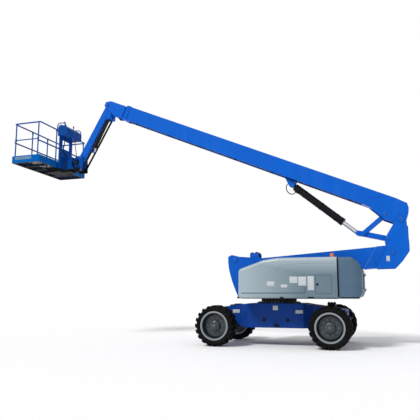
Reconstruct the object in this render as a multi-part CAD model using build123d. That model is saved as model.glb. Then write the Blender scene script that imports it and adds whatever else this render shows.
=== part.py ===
# Articulating boom lift, rebuilt as separate solids in one frame.
# Millimetres and degrees. X points to the platform end, Y to the machine's left, Z up.
# Everything is laid out from the slew axis on the ground and moved at the end so that
# the zero point lies on the ground under the middle of the whole machine.
import os
from math import atan2, cos, degrees, hypot, radians, sin

from build123d import *

# Overall
WHEELBASE = 2740
OVERALL_WIDTH = 2490
TAIL_REACH = 3237            # slew axis back to the heel of the primary boom
PLATFORM_REAR = 6620         # slew axis forward to the platform's back rail line
PLATFORM_DEPTH = 920
RUNNING = 0.4                # radial play on every pin and bearing
SLIDE_PLAY = 0.6             # play at the boom wear pads
CLEAR = 6                    # side gap between pieces that move past each other

# Wheels and steering
TYRE_OD = 980
TYRE_WIDTH = 420
RIM_SEAT_R = 310
RIM_FLANGE_R = 345
RIM_WALL = 12
RIM_HALF = 190
SPINDLE_R = 60
HUB_R = 150
KINGPIN_Y = 700
KINGPIN_R = 35
KNUCKLE_R = 70
STEER_ARM = 225
TIE_ROD_R = 25
STEER_ROD_R = 18
STEER_BARREL_R = 45
STEER_RANGE = 30

# Chassis
FRAME_BOTTOM = 430
FRAME_TOP = 1020
FRAME_HALF = 610
NECK_HALF = 460
FRAME_END = 1700
BEAM_X = 180
BEAM_Z = 200
BEAM_HALF = 560
YOKE_HALF = 190
YOKE_T = 40
TIE_HOLE_R = 30
TIE_LUG_T = 30
TIE_Y = 345
TIE_Z = 640
TIE_REACH = 45               # chassis end to the middle of a tie-down hole

# Slew bearing and turntable
SLEW_FLANGE_R = 550
SLEW_R = 450
SPIGOT_R = 400
SLEW_TOP = 1130
DECK_T = 40
DECK_HALF = 1000
DECK_FRONT = 740
DECK_REAR = -1530
SPINE_HALF = 400
SPINE_FRONT = 1010
SPINE_REAR = -2000
RISER_IN = 215
RISER_T = 40

# Covers and counterweight
COVER_OUT = 1185
COVER_IN = 440
COVER_WALL = 30
COVER_FRONT = 780
COVER_SEAM = -1570
COVER_LOW = 1150
COVER_TOP = 2100
COVER_CORNER = 100           # radius of the corners in the side view
COVER_ROUND = 80             # radius all round the outer face
COVER_TUCK = 30              # how far the rounding runs on below the lower edge
SEAM_GAP = 12
WEIGHT_REAR = -2110
WEIGHT_HALF = 1160
WEIGHT_ROUND = 260           # radius of the rear corners seen from above
CHANNEL_HALF = 300
CHANNEL_FLOOR = 1390
DOOR_X0 = -1440
DOOR_X1 = -1080
DOOR_Z0 = 1260
DOOR_Z1 = 1680
DOOR_T = 20
DOOR_HINGE = 10
DOOR_GAP = 6
DOOR_PIN_R = 4
HINGE_R = 12
HINGE_PIN_R = 5
HINGE_LONG = 40
HINGE_POSTS = (-1450, -200)

# Secondary boom, measured from its pivot along the boom
SEC_PIVOT = (1080, 2130)
SEC_ANGLE = 4.4
SEC_TOP = -20
SEC_DEPTH = 490
SEC_HALF = 195
SEC_WALL = 14
SEC_EXT_GAP = 32
SEC_EXT_HALF = 150
SEC_PIN_R = 45
SEC_STROKE = 2000
SEC_CYL_BASE = (600, 1330)
SEC_CYL_EYE = (-1000, 1625)

# Upper pivot and lift links
UPPER_IN = 220
UPPER_T = 35
UPPER_SEC_PIN = (-2820, 2250)
LINK_PIN_R = 35
LOWER_LINK_PIN = (-2710, 2588)
LINK_KNEE = (-2148, 2725)
ROD_EYE_PIN = (-2030, 2743)
UPPER_LINK_PIN = (-2679, 3168)
LINK_EYE_R = 62
KNEE_PIN_R = 22
KNEE_HOLE_R = 40
LOWER_LINK_IN = 60
UPPER_LINK_IN = 95
LINK_T = 25

# Primary boom, measured from its pivot along the boom
PRI_PIVOT = (-3050, 3020)
PRI_ANGLE = 23.5
PRI_PIN_R = 50
PRI_LOW = 45
PRI_HIGH = 458
PRI_HALF = 180
PRI_WALL = 12
PRI_END = 8300
PRI_LUG_T = 32
PRI_EXT_GAP = 30
PRI_STROKE = 6500
LIFT_BARREL_PIN = (-417, 4078)
LIFT_BARREL_R = 95
LIFT_ROD_R = 55

# Boom head, jib and platform mount
JIB_PIVOT = (5050, 6850)
JIB_FOOT = (5930, 5300)
JIB_PIN_R = 28
LEVEL_OFFSET = (-30, -370)   # from each jib pivot to the pin of the levelling arms
RAM_OFFSET = (48, -392)      # from the upper jib pivot to the base pin of the jib ram
JIB_HALF = 80
JIB_DEEP = 100
JIB_BOSS_R = 35
ARM_IN = 95
ARM_T = 18
ARM_R = 28
CRANK_IN = 118
CRANK_T = 25
HEAD_IN = 150
HEAD_T = 30
JIB_CYL_ALONG = 1400
JIB_CYL_BELOW = 200
JIB_BARREL_R = 43
JIB_ROD_R = 27
ROTATOR_X = 6330
ROTATOR_R = 130

# Platform
PLATFORM_HALF = 1220
FLOOR_LOW = 4995
FLOOR_FRAME = 60
FLOOR_PLATE = 8
FLOOR_RISE = 3               # floor sheet above the border that carries the posts
FLOOR_BORDER = 60
TOE_BOARD = 150
RAIL_R = 21
POST_R = 19
TOP_RAIL = 6180
MID_RAIL = 5620
RAIL_CORNER = 45
RAIL_POSTS = (-380, 380)      # posts along the two long sides
TOE_T = 6

# Derived places
WHEEL_Z = TYRE_OD / 2
WHEEL_Y = (OVERALL_WIDTH - TYRE_WIDTH) / 2
AXLE_X = WHEELBASE / 2
PLATFORM_FRONT = PLATFORM_REAR + PLATFORM_DEPTH
ORIGIN_X = (PLATFORM_FRONT - TAIL_REACH) / 2
RAIL_INSET = TOE_T + RAIL_R + 1
POST_INSET = RAIL_INSET + RAIL_CORNER + 4
DECK_LOW = SLEW_TOP + CLEAR
DECK_TOP = DECK_LOW + DECK_T
WEIGHT_LOW = DECK_TOP
HINGE_Y = COVER_IN - 15
HINGE_Z = COVER_TOP - 15
CRANK_PIN = (JIB_PIVOT[0] + LEVEL_OFFSET[0], JIB_PIVOT[1] + LEVEL_OFFSET[1])
RAM_PIN = (JIB_PIVOT[0] + RAM_OFFSET[0], JIB_PIVOT[1] + RAM_OFFSET[1])
MOUNT_PIN = (JIB_FOOT[0] + LEVEL_OFFSET[0], JIB_FOOT[1] + LEVEL_OFFSET[1])
JIB_LENGTH = hypot(JIB_FOOT[0] - JIB_PIVOT[0], JIB_FOOT[1] - JIB_PIVOT[1])
JIB_ANGLE = degrees(atan2(JIB_FOOT[1] - JIB_PIVOT[1], JIB_FOOT[0] - JIB_PIVOT[0]))


def along(origin, angle, x, z):
    """Place in the machine of a point given along a boom at this angle."""
    c = cos(radians(angle))
    s = sin(radians(angle))
    return (origin[0] + c * x - s * z, origin[1] + s * x + c * z)


def from_boom(origin, angle, point):
    """The same point measured along the boom."""
    c = cos(radians(angle))
    s = sin(radians(angle))
    dx = point[0] - origin[0]
    dz = point[1] - origin[1]
    return (c * dx + s * dz, c * dz - s * dx)


def set_on(origin, angle, shape):
    """Turn a piece drawn along X to the boom's angle and set it on its pivot."""
    return Pos(origin[0], 0, origin[1]) * Rot(0, -angle, 0) * shape


def side_plane(y):
    """Side view plane at this Y, with X forward and Z up."""
    return Plane(origin=(0, y, 0), x_dir=(1, 0, 0), z_dir=(0, -1, 0))


def plate(points, y0, y1, radius=0):
    """Plate with this outline in the side view, between two Y values."""
    if radius:
        outline = FilletPolyline(*points, radius=radius, close=True)
    else:
        outline = Polyline(*points, close=True)
    return extrude(side_plane(y1) * make_face(outline), amount=y1 - y0)


def bar(p, q, radius, y0, y1):
    """Link plate with round ends at two points of the side view."""
    length = hypot(q[0] - p[0], q[1] - p[1])
    angle = degrees(atan2(q[1] - p[1], q[0] - p[0]))
    middle = ((p[0] + q[0]) / 2, (p[1] + q[1]) / 2)
    slot = Pos(middle[0], middle[1]) * Rot(0, 0, angle) * SlotCenterToCenter(length, 2 * radius)
    return extrude(side_plane(y1) * slot, amount=y1 - y0)


def pin(point, radius, y0, y1):
    """Round pin along Y."""
    return Pos(point[0], (y0 + y1) / 2, point[1]) * Rot(90, 0, 0) * Cylinder(radius, y1 - y0)


def post(x, y, radius, z0, z1):
    """Round post along Z."""
    return Pos(x, y, (z0 + z1) / 2) * Cylinder(radius, z1 - z0)


def block(x0, x1, y0, y1, z0, z1):
    """Box between these limits."""
    centre = Pos((x0 + x1) / 2, (y0 + y1) / 2, (z0 + z1) / 2)
    return centre * Box(x1 - x0, y1 - y0, z1 - z0)


def pair(shape):
    """A piece and its mirror on the other side of the machine."""
    return shape + mirror(shape, about=Plane.XZ)


def cheeks(points, y0, y1, radius=0):
    """Two like plates, one on each side of the middle plane."""
    return plate(points, y0, y1, radius) + plate(points, -y1, -y0, radius)


def eyes(point, radius, y0, y1):
    """Two round bosses, one on each side of the middle plane."""
    return pin(point, radius, y0, y1) + pin(point, radius, -y1, -y0)


# Wheels


def tyre():
    half = TYRE_WIDTH / 2
    seat = RIM_HALF - RIM_WALL
    tread = TYRE_OD / 2
    outline = [
        (RIM_SEAT_R, -seat),
        (RIM_FLANGE_R + 8, -seat),
        (RIM_FLANGE_R + 45, -half),
        (tread - 60, -half),
        (tread, -half + 60),
        (tread, half - 60),
        (tread - 60, half),
        (RIM_FLANGE_R + 45, half),
        (RIM_FLANGE_R + 8, seat),
        (RIM_SEAT_R, seat),
    ]
    face = make_face(Polyline(*outline, close=True))
    outer = [v for v in face.vertices() if v.X > RIM_FLANGE_R + 20]
    return revolve(fillet(outer, 30), axis=Axis.Y)


def rim():
    inside = RIM_SEAT_R - RIM_WALL
    lip = RIM_HALF - RIM_WALL
    bore = SPINDLE_R + RUNNING
    outline = [
        (0, 20),
        (bore, 20),
        (bore, -60),
        (HUB_R, -60),
        (HUB_R, 30),
        (inside - 40, 30),
        (inside, -10),
        (inside, -RIM_HALF),
        (RIM_FLANGE_R, -RIM_HALF),
        (RIM_FLANGE_R, -lip),
        (RIM_SEAT_R, -lip),
        (RIM_SEAT_R, lip),
        (RIM_FLANGE_R, lip),
        (RIM_FLANGE_R, RIM_HALF),
        (inside, RIM_HALF),
        (inside, 10),
        (inside - 40, 50),
        (HUB_R - 20, 50),
        (HUB_R - 35, 135),
        (HUB_R - 70, 150),
        (HUB_R - 80, 178),
        (0, 178),
    ]
    return revolve(make_face(Polyline(*outline, close=True)), axis=Axis.Y)


def on_wheel(end, side, shape):
    """Set a piece drawn with its outer face towards +Y on one of the four wheels."""
    turn = Rot(0, 0, 0) if side > 0 else Rot(0, 0, 180)
    return Pos(end * AXLE_X, side * WHEEL_Y, WHEEL_Z) * turn * shape


# Steering


def knuckle(end, side):
    boss = post(0, 0, KNUCKLE_R, -YOKE_HALF + YOKE_T + 2, YOKE_HALF - YOKE_T - 2)
    kingpin = post(0, 0, KINGPIN_R, -YOKE_HALF - 5, YOKE_HALF + 5)
    reach = WHEEL_Y - KINGPIN_Y
    motor = pin((0, 0), 110, 20, reach - 160)
    flange = pin((0, 0), HUB_R - 10, reach - 160, reach - 90)
    spindle = pin((0, 0), SPINDLE_R, reach - 90, reach + 14)
    arm = block(40, STEER_ARM, -35, 15, -75, -45)
    tip = post(STEER_ARM, -10, 40, -75, -45)
    body = boss + kingpin + motor + flange + spindle + arm + tip
    if side < 0 and end < 0:
        body = Rot(0, 0, 180) * body
    elif side < 0:
        body = mirror(body, about=Plane.XZ)
    elif end < 0:
        body = mirror(body, about=Plane.YZ)
    return Pos(end * AXLE_X, side * KINGPIN_Y, WHEEL_Z) * body


def axle(end):
    beam = block(-BEAM_X / 2, BEAM_X / 2, -BEAM_HALF, BEAM_HALF, -BEAM_Z / 2, BEAM_Z / 2)
    web = block(-BEAM_X / 2, BEAM_X / 2, BEAM_HALF - 40, BEAM_HALF, -YOKE_HALF, YOKE_HALF)
    tongue = block(-BEAM_X / 2, BEAM_X / 2, BEAM_HALF - 20, KINGPIN_Y, YOKE_HALF - YOKE_T, YOKE_HALF)
    tongue = tongue + post(0, KINGPIN_Y, BEAM_X / 2, YOKE_HALF - YOKE_T, YOKE_HALF)
    tongue = tongue - post(0, KINGPIN_Y, KINGPIN_R + RUNNING, 0, YOKE_HALF + 10)
    lower = mirror(tongue, about=Plane.XY)
    barrel_x = BEAM_X / 2 + STEER_BARREL_R - 4
    barrel = pin((barrel_x, 40), STEER_BARREL_R, -260, 260)
    body = beam + pair(web + tongue + lower) + barrel
    body = body - pin((barrel_x, 40), STEER_ROD_R + RUNNING, -300, 300)
    if end < 0:
        body = mirror(body, about=Plane.YZ)
    return Pos(end * AXLE_X, 0, WHEEL_Z) * body


def tie_rod(end):
    bar_y = KINGPIN_Y - 10
    bar_z = -60
    rod_x = BEAM_X / 2 + STEER_BARREL_R - 4
    track = pin((STEER_ARM, bar_z), TIE_ROD_R, -bar_y + 60, bar_y - 60)
    fork = block(STEER_ARM - 25, STEER_ARM + 25, bar_y - 80, bar_y - 50, bar_z - 35, bar_z + 35)
    jaw_high = block(STEER_ARM - 25, STEER_ARM + 25, bar_y - 60, bar_y + 25, bar_z + 20, bar_z + 35)
    jaw_low = block(STEER_ARM - 25, STEER_ARM + 25, bar_y - 60, bar_y + 25, bar_z - 35, bar_z - 20)
    cap = post(STEER_ARM, bar_y, 18, bar_z + 30, bar_z + 42)
    nut = post(STEER_ARM, bar_y, 18, bar_z - 42, bar_z - 30)
    rod = pin((rod_x, 40), STEER_ROD_R, -540, 540)
    bracket = plate(
        [(rod_x - 24, 66), (rod_x + 24, 66), (STEER_ARM + 20, bar_z + 10), (STEER_ARM - 20, bar_z - 20)],
        505,
        530,
    )
    body = track + rod + pair(fork + jaw_high + jaw_low + cap + nut + bracket)
    if end < 0:
        body = mirror(body, about=Plane.YZ)
    return Pos(end * AXLE_X, 0, WHEEL_Z) * body


# Chassis


def chassis_frame():
    beam_top = WHEEL_Z + BEAM_Z / 2
    side = [
        (FRAME_END, beam_top),
        (FRAME_END, 860),
        (1350, 930),
        (640, FRAME_TOP),
        (-640, FRAME_TOP),
        (-1350, 930),
        (-FRAME_END, 860),
        (-FRAME_END, beam_top),
        (-1120, beam_top),
        (-860, FRAME_BOTTOM),
        (860, FRAME_BOTTOM),
        (1120, beam_top),
    ]
    plan = [
        (700, FRAME_HALF),
        (-700, FRAME_HALF),
        (-900, NECK_HALF),
        (-FRAME_END, NECK_HALF),
        (-FRAME_END, -NECK_HALF),
        (-900, -NECK_HALF),
        (-700, -FRAME_HALF),
        (700, -FRAME_HALF),
        (900, -NECK_HALF),
        (FRAME_END, -NECK_HALF),
        (FRAME_END, NECK_HALF),
        (900, NECK_HALF),
    ]
    body = plate(side, -FRAME_HALF, FRAME_HALF)
    footprint = extrude(make_face(FilletPolyline(*plan, radius=60, close=True)), amount=2000)
    body = body & footprint
    tip = FRAME_END + 2 * TIE_REACH
    lug = block(FRAME_END - 20, tip, TIE_Y - 50, TIE_Y + 50, TIE_Z, TIE_Z + TIE_LUG_T)
    lug = lug - post(FRAME_END + TIE_REACH, TIE_Y, TIE_HOLE_R, TIE_Z - 5, TIE_Z + TIE_LUG_T + 5)
    lug = pair(lug)
    body = body + lug + mirror(lug, about=Plane.YZ)
    hollow = block(-560, 560, -FRAME_HALF + 30, FRAME_HALF - 30, FRAME_BOTTOM - 5, FRAME_TOP - 60)
    body = body - hollow
    return body


def slew_ring():
    flange = post(0, 0, SLEW_FLANGE_R, FRAME_TOP, FRAME_TOP + 25)
    race = post(0, 0, SLEW_R, FRAME_TOP + 25, SLEW_TOP)
    return flange + race - post(0, 0, SPIGOT_R + RUNNING, FRAME_TOP + 10, SLEW_TOP + 10)


# Turntable


def rod_x(x0, x1, y, z, radius):
    """Round rod along X."""
    return Pos((x0 + x1) / 2, y, z) * Rot(0, 90, 0) * Cylinder(radius, x1 - x0)


def hinge_post(x):
    """Upright on the deck that carries a cover's hinge on the left side."""
    half = HINGE_LONG / 2
    upright = block(x - half, x + half, HINGE_Y - 20, HINGE_Y + 7, DECK_TOP - 5, HINGE_Z - 22)
    neck = block(x - half, x + half, HINGE_Y - 10, HINGE_Y + 7, HINGE_Z - 30, HINGE_Z)
    barrel = rod_x(x - half, x + half, HINGE_Y, HINGE_Z, HINGE_R)
    return upright + neck + barrel + rod_x(x - half - 30, x + half + 30, HINGE_Y, HINGE_Z, HINGE_PIN_R)


def hinge_ears(x):
    """The two knuckles of the left cover on one hinge pin."""
    half = HINGE_LONG / 2
    ears = Part()
    for x0 in (x - half - 36, x + half + 2):
        ears = ears + rod_x(x0, x0 + 34, HINGE_Y, HINGE_Z, HINGE_R)
        ears = ears + block(x0, x0 + 34, HINGE_Y, COVER_IN + 6, HINGE_Z - 6, HINGE_Z + 6)
    return ears - rod_x(x - half - 50, x + half + 50, HINGE_Y, HINGE_Z, HINGE_PIN_R + RUNNING)


def turntable_frame():
    deck = block(DECK_REAR, DECK_FRONT, -DECK_HALF, DECK_HALF, DECK_LOW, DECK_TOP)
    deck = fillet(deck.edges().filter_by(Axis.Z), 80)
    spigot = post(0, 0, SPIGOT_R, FRAME_TOP + 30, DECK_LOW + 5)
    spigot = spigot - post(0, 0, SPIGOT_R - 80, FRAME_TOP, DECK_LOW)
    riser = [
        (1000, DECK_LOW),
        (1095, 1350),
        (1185, 1590),
        (1255, 1850),
        (1282, 2060),
        (1282, 2212),
        (1180, 2258),
        (1040, 2225),
        (860, 2140),
        (620, 2140),
        (380, 1800),
        (-500, DECK_LOW),
    ]
    plates = cheeks(riser, RISER_IN, RISER_IN + RISER_T, 40)
    web = block(950, 985, -RISER_IN, RISER_IN, DECK_LOW, 1760)
    spine = block(SPINE_REAR, SPINE_FRONT, -SPINE_HALF, SPINE_HALF, DECK_LOW, DECK_TOP)
    x = SEC_CYL_BASE[0]
    foot_top = SEC_CYL_BASE[1] + 55
    heel = DECK_TOP - 5
    foot = cheeks([(x - 55, heel), (x - 55, foot_top), (x + 55, foot_top), (x + 120, heel)], 56, 86)
    base_pin = pin(SEC_CYL_BASE, LINK_PIN_R, -86, 86)
    pivot_pin = pin(SEC_PIVOT, SEC_PIN_R, -RISER_IN - RISER_T - 10, RISER_IN + RISER_T + 10)
    posts = pair(hinge_post(HINGE_POSTS[0]) + hinge_post(HINGE_POSTS[1]))
    return deck + spine + posts + spigot + plates + web + foot + base_pin + pivot_pin


def counterweight():
    front = COVER_SEAM - SEAM_GAP
    top = COVER_TOP - 10
    outline = [
        (front, WEIGHT_LOW),
        (front, top),
        (WEIGHT_REAR + 230, top),
        (WEIGHT_REAR + 70, top - 110),
        (WEIGHT_REAR, top - 300),
        (WEIGHT_REAR, WEIGHT_LOW + 120),
        (WEIGHT_REAR + 60, WEIGHT_LOW),
    ]
    h = WEIGHT_HALF
    body = plate(outline, -h, h)
    plan = [(front + 600, -h), (front + 600, h), (WEIGHT_REAR, h), (WEIGHT_REAR, -h)]
    seen_above = make_face(FilletPolyline(*plan, radius=WEIGHT_ROUND, close=True))
    body = body & extrude(seen_above, amount=COVER_TOP)
    across = [(-h, 0), (h, 0), (h, top), (-h, top)]
    seen_behind = make_face(FilletPolyline(*across, radius=COVER_ROUND, close=True))
    body = body & extrude(Plane.YZ * seen_behind, amount=3000, both=True)
    channel = block(WEIGHT_REAR - 10, front + 20, -CHANNEL_HALF, CHANNEL_HALF, CHANNEL_FLOOR, top + 20)
    return body - channel


def cover_outline(inset, rear):
    """Side outline of a cover; the inside one is smaller by the wall."""
    low = COVER_LOW - COVER_TUCK
    return [
        (COVER_FRONT - inset, low - inset),
        (COVER_FRONT - 10 - inset, 1835 - inset),
        (440, 1950 - inset),
        (150, 2055 - inset),
        (-200, COVER_TOP - inset),
        (rear, COVER_TOP - inset),
        (rear, low - inset),
    ]


def cover_form(inset, rear, y0):
    """Solid cover, rounded all round its outer face."""
    body = plate(cover_outline(inset, rear), y0, COVER_OUT - inset, COVER_CORNER - inset)
    rim_edges = body.faces().sort_by(Axis.Y)[-1].edges()
    return fillet(rim_edges, COVER_ROUND - inset)


def cover_shell():
    """Left cover without its hinges or door opening."""
    outer = cover_form(0, COVER_SEAM - 2 * COVER_CORNER, COVER_IN)
    inner = cover_form(COVER_WALL, COVER_SEAM + COVER_WALL, COVER_IN - 10)
    keep = block(COVER_SEAM, COVER_FRONT + 10, 0, COVER_OUT + 10, COVER_LOW, COVER_TOP + 10)
    shell = (outer & keep) - inner
    return shell + hinge_ears(HINGE_POSTS[0]) + hinge_ears(HINGE_POSTS[1])


def door_pin(radius):
    """Upright pin of the ground control door, or its hole."""
    return post(DOOR_X0 + DOOR_HINGE, COVER_OUT - DOOR_HINGE - 2, radius, DOOR_Z0 - 16, DOOR_Z1 + 16)


def left_cover():
    g = DOOR_GAP
    opening = block(DOOR_X0 - g, DOOR_X1 + g, COVER_OUT - 60, COVER_OUT + 10, DOOR_Z0 - g, DOOR_Z1 + g)
    return cover_shell() - opening - door_pin(DOOR_PIN_R + RUNNING)


def right_cover():
    return mirror(cover_shell(), about=Plane.XZ)


def control_door():
    leaf = block(DOOR_X0, DOOR_X1, COVER_OUT - DOOR_T - 2, COVER_OUT - 2, DOOR_Z0, DOOR_Z1)
    return leaf + door_pin(DOOR_PIN_R)


def control_panel():
    back = COVER_OUT - COVER_WALL
    pan = block(DOOR_X0 - 30, DOOR_X1 + 30, back - 150, back, DOOR_Z0 - 30, DOOR_Z1 + 30)
    return pan - block(DOOR_X0 - 20, DOOR_X1 + 20, back - 100, back + 5, DOOR_Z0 - 20, DOOR_Z1 + 20)


def engine_block():
    return block(-1300, -420, -1050, -480, DECK_TOP, 1860)


def beacon():
    base = post(-1430, 700, 60, COVER_TOP, COVER_TOP + 15)
    dome = post(-1430, 700, 48, COVER_TOP + 15, COVER_TOP + 110)
    return base + fillet(dome.edges().sort_by(Axis.Z)[-1], 30)


# Secondary boom


def secondary_boom():
    low = SEC_TOP - SEC_DEPTH
    rear_top = -3840
    rear_low = -3480
    outside = [(-330, SEC_TOP), (rear_top, SEC_TOP), (rear_low, low), (-650, low), (-330, low + 180)]
    tube = plate(outside, -SEC_HALF, SEC_HALF)
    inside = [
        (-420, SEC_TOP - SEC_WALL),
        (rear_top - 50, SEC_TOP - SEC_WALL),
        (rear_low - 50, low + SEC_WALL),
        (-690, low + SEC_WALL),
        (-420, low + 180 + SEC_WALL),
    ]
    bore = plate(inside, -SEC_HALF + SEC_WALL, SEC_HALF - SEC_WALL)
    collar = [
        (rear_top, SEC_TOP + 8),
        (rear_low, low - 22),
        (rear_low + 300, low - 22),
        (rear_top + 300, SEC_TOP + 8),
    ]
    band = plate(collar, -SEC_HALF - 8, SEC_HALF + 8)
    lug = [
        (-700, SEC_TOP),
        (-120, SEC_TOP + 90),
        (60, SEC_TOP + 110),
        (130, 0),
        (60, -130),
        (-330, low + 150),
        (-700, low + 10),
    ]
    cheek = cheeks(lug, SEC_HALF - 20, SEC_HALF + 10, 30)
    barrel = pin((0, 0), 95, -SEC_HALF, SEC_HALF)
    eye = from_boom(SEC_PIVOT, -SEC_ANGLE, SEC_CYL_EYE)
    tip = eye[1] - 55
    ear = [(eye[0] - 90, low + 4), (eye[0] - 50, tip), (eye[0] + 50, tip), (eye[0] + 70, low + 4)]
    foot = cheeks(ear, 56, 86)
    pad_gap = SEC_EXT_GAP - SEC_WALL - SLIDE_PLAY
    pad_top = block(rear_top + 380, rear_top + 500, -100, 100, SEC_TOP - SEC_WALL - pad_gap, SEC_TOP - 5)
    pad_low = block(rear_low + 100, rear_low + 220, -100, 100, low + 5, low + SEC_WALL + pad_gap)
    pad_in = SEC_EXT_HALF + SLIDE_PLAY
    pad_side = block(rear_low + 20, rear_low + 140, pad_in, SEC_HALF - 5, low + 150, SEC_TOP - 150)
    body = tube + band - bore + cheek + barrel + foot + pad_top + pad_low + pair(pad_side)
    body = body - pin((0, 0), SEC_PIN_R + RUNNING, -SEC_HALF - 20, SEC_HALF + 20)
    rest = block(-570, -410, -150, 150, SEC_TOP, SEC_TOP + 95)
    return set_on(SEC_PIVOT, -SEC_ANGLE, body + rest)


def secondary_extension():
    low = SEC_TOP - SEC_DEPTH + SEC_EXT_GAP
    top = SEC_TOP - SEC_EXT_GAP
    pivot = from_boom(SEC_PIVOT, -SEC_ANGLE, UPPER_SEC_PIN)
    outside = [(-750, top), (-3850, top), (-3560, low), (-750, low)]
    tube = plate(outside, -SEC_EXT_HALF, SEC_EXT_HALF)
    inside = [(-740, top - 12), (-3780, top - 12), (-3500, low + 12), (-740, low + 12)]
    tube = tube - plate(inside, -SEC_EXT_HALF + 12, SEC_EXT_HALF - 12)
    ear = [(-3600, top - 2), (pivot[0], pivot[1] + 110), (pivot[0], pivot[1] - 110), (-3560, low + 40)]
    knob = plate(ear, -SEC_EXT_HALF, SEC_EXT_HALF) + pin(pivot, 110, -SEC_EXT_HALF, SEC_EXT_HALF)
    knob = knob + pin(pivot, 90, -UPPER_IN + 1, UPPER_IN - 1)
    body = tube + knob - pin(pivot, SEC_PIN_R + RUNNING, -UPPER_IN, UPPER_IN)
    return set_on(SEC_PIVOT, -SEC_ANGLE, body)


# Rams


def ram_barrel(base, eye, length, radius, rod_radius, eye_radius, eye_half, pin_radius):
    """Cylinder barrel with its eye on the base pin, along the line to the rod's eye."""
    angle = degrees(atan2(eye[1] - base[1], eye[0] - base[0]))
    start = eye_radius + 25
    tube = Pos((start + length) / 2, 0, 0) * Rot(0, 90, 0) * Cylinder(radius, length - start)
    gland = Pos(length - 40, 0, 0) * Rot(0, 90, 0) * Cylinder(radius + 5, 80)
    neck = block(0, start + 5, -eye_half, eye_half, -eye_radius * 0.7, eye_radius * 0.7)
    knob = pin((0, 0), eye_radius, -eye_half, eye_half) + neck
    bore = Rot(0, 90, 0) * Cylinder(rod_radius + RUNNING, length - 20)
    bore = Pos(length / 2 + eye_radius + 40, 0, 0) * bore
    body = tube + gland + knob - bore - pin((0, 0), pin_radius + RUNNING, -eye_half - 50, eye_half + 50)
    return set_on(base, angle, body)


def ram_rod(base, eye, start, rod_radius, eye_radius, eye_half, pin_radius):
    """Rod with its eye; it starts inside the barrel at this distance from the base pin."""
    angle = degrees(atan2(eye[1] - base[1], eye[0] - base[0]))
    length = hypot(eye[0] - base[0], eye[1] - base[1])
    rod = Pos((start + length) / 2, 0, 0) * Rot(0, 90, 0) * Cylinder(rod_radius, length - start)
    knob = pin((length, 0), eye_radius, -eye_half, eye_half)
    body = rod + knob - pin((length, 0), pin_radius + RUNNING, -eye_half - 50, eye_half + 50)
    return set_on(base, angle, body)


def secondary_barrel():
    return ram_barrel(SEC_CYL_BASE, SEC_CYL_EYE, 1380, 85, 50, 62, 50, LINK_PIN_R)


def secondary_rod():
    return ram_rod(SEC_CYL_BASE, SEC_CYL_EYE, 280, 50, 56, 50, LINK_PIN_R)


def lift_barrel():
    return ram_barrel(LIFT_BARREL_PIN, ROD_EYE_PIN, 1640, LIFT_BARREL_R, LIFT_ROD_R, 70, 50, LINK_PIN_R)


def lift_rod():
    return ram_rod(LIFT_BARREL_PIN, ROD_EYE_PIN, 760, LIFT_ROD_R, 60, 50, 28)


def jib_eye_point():
    return along(JIB_PIVOT, JIB_ANGLE, JIB_CYL_ALONG, -JIB_CYL_BELOW)


def jib_barrel():
    return ram_barrel(RAM_PIN, jib_eye_point(), 960, JIB_BARREL_R, JIB_ROD_R, 42, 45, 20)


def jib_rod():
    return ram_rod(RAM_PIN, jib_eye_point(), 100, JIB_ROD_R, 40, 32, 20)


# Upper pivot and links


def upper_pivot():
    outline = [
        (-3160, 3060),
        (-3110, 3130),
        (-2990, 3130),
        (-2890, 2960),
        (-2720, 2690),
        (-2650, 2540),
        (-2680, 2330),
        (-2410, 1850),
        (-2870, 1860),
        (-3050, 2050),
        (-3200, 2260),
        (-3200, 2480),
    ]
    plates = cheeks(outline, UPPER_IN, UPPER_IN + UPPER_T, 25)
    web = block(-3195, -3160, -UPPER_IN - 5, UPPER_IN + 5, 2470, 2860)
    out = UPPER_IN + UPPER_T + 8
    body = plates + web
    body = body + pin(UPPER_SEC_PIN, SEC_PIN_R, -out, out)
    body = body + pin(LOWER_LINK_PIN, LINK_PIN_R, -out, out)
    body = body + pin(PRI_PIVOT, PRI_PIN_R, -out, out)
    return body


def lower_link():
    inner = LOWER_LINK_IN
    outer = inner + LINK_T
    points = [LOWER_LINK_PIN, LINK_KNEE, ROD_EYE_PIN]
    body = bar(points[0], points[1], LINK_EYE_R, inner, outer)
    body = pair(body + bar(points[1], points[2], LINK_EYE_R, inner, outer))
    body = body + pin(LOWER_LINK_PIN, LINK_EYE_R, -inner - 1, inner + 1)
    reach = UPPER_LINK_IN + LINK_T + 6
    body = body - pin(LOWER_LINK_PIN, LINK_PIN_R + RUNNING, -reach, reach)
    body = body + eyes(LINK_KNEE, KNEE_PIN_R, inner + 5, reach + 8)
    body = body + eyes(LINK_KNEE, LINK_EYE_R - 6, reach, reach + 8)
    return body + eyes(ROD_EYE_PIN, 28, inner + 5, outer + 12)


def upper_link():
    inner = UPPER_LINK_IN
    outer = inner + LINK_T
    body = bar(UPPER_LINK_PIN, LINK_KNEE, LINK_EYE_R - 12, inner, outer)
    body = pair(body) + pin(UPPER_LINK_PIN, LINK_EYE_R - 12, -inner - 1, inner + 1)
    body = body - pin(UPPER_LINK_PIN, LINK_PIN_R + RUNNING, -outer - 10, outer + 10)
    return body - pin(LINK_KNEE, KNEE_HOLE_R, -outer - 10, outer + 10)


# Primary boom


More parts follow.
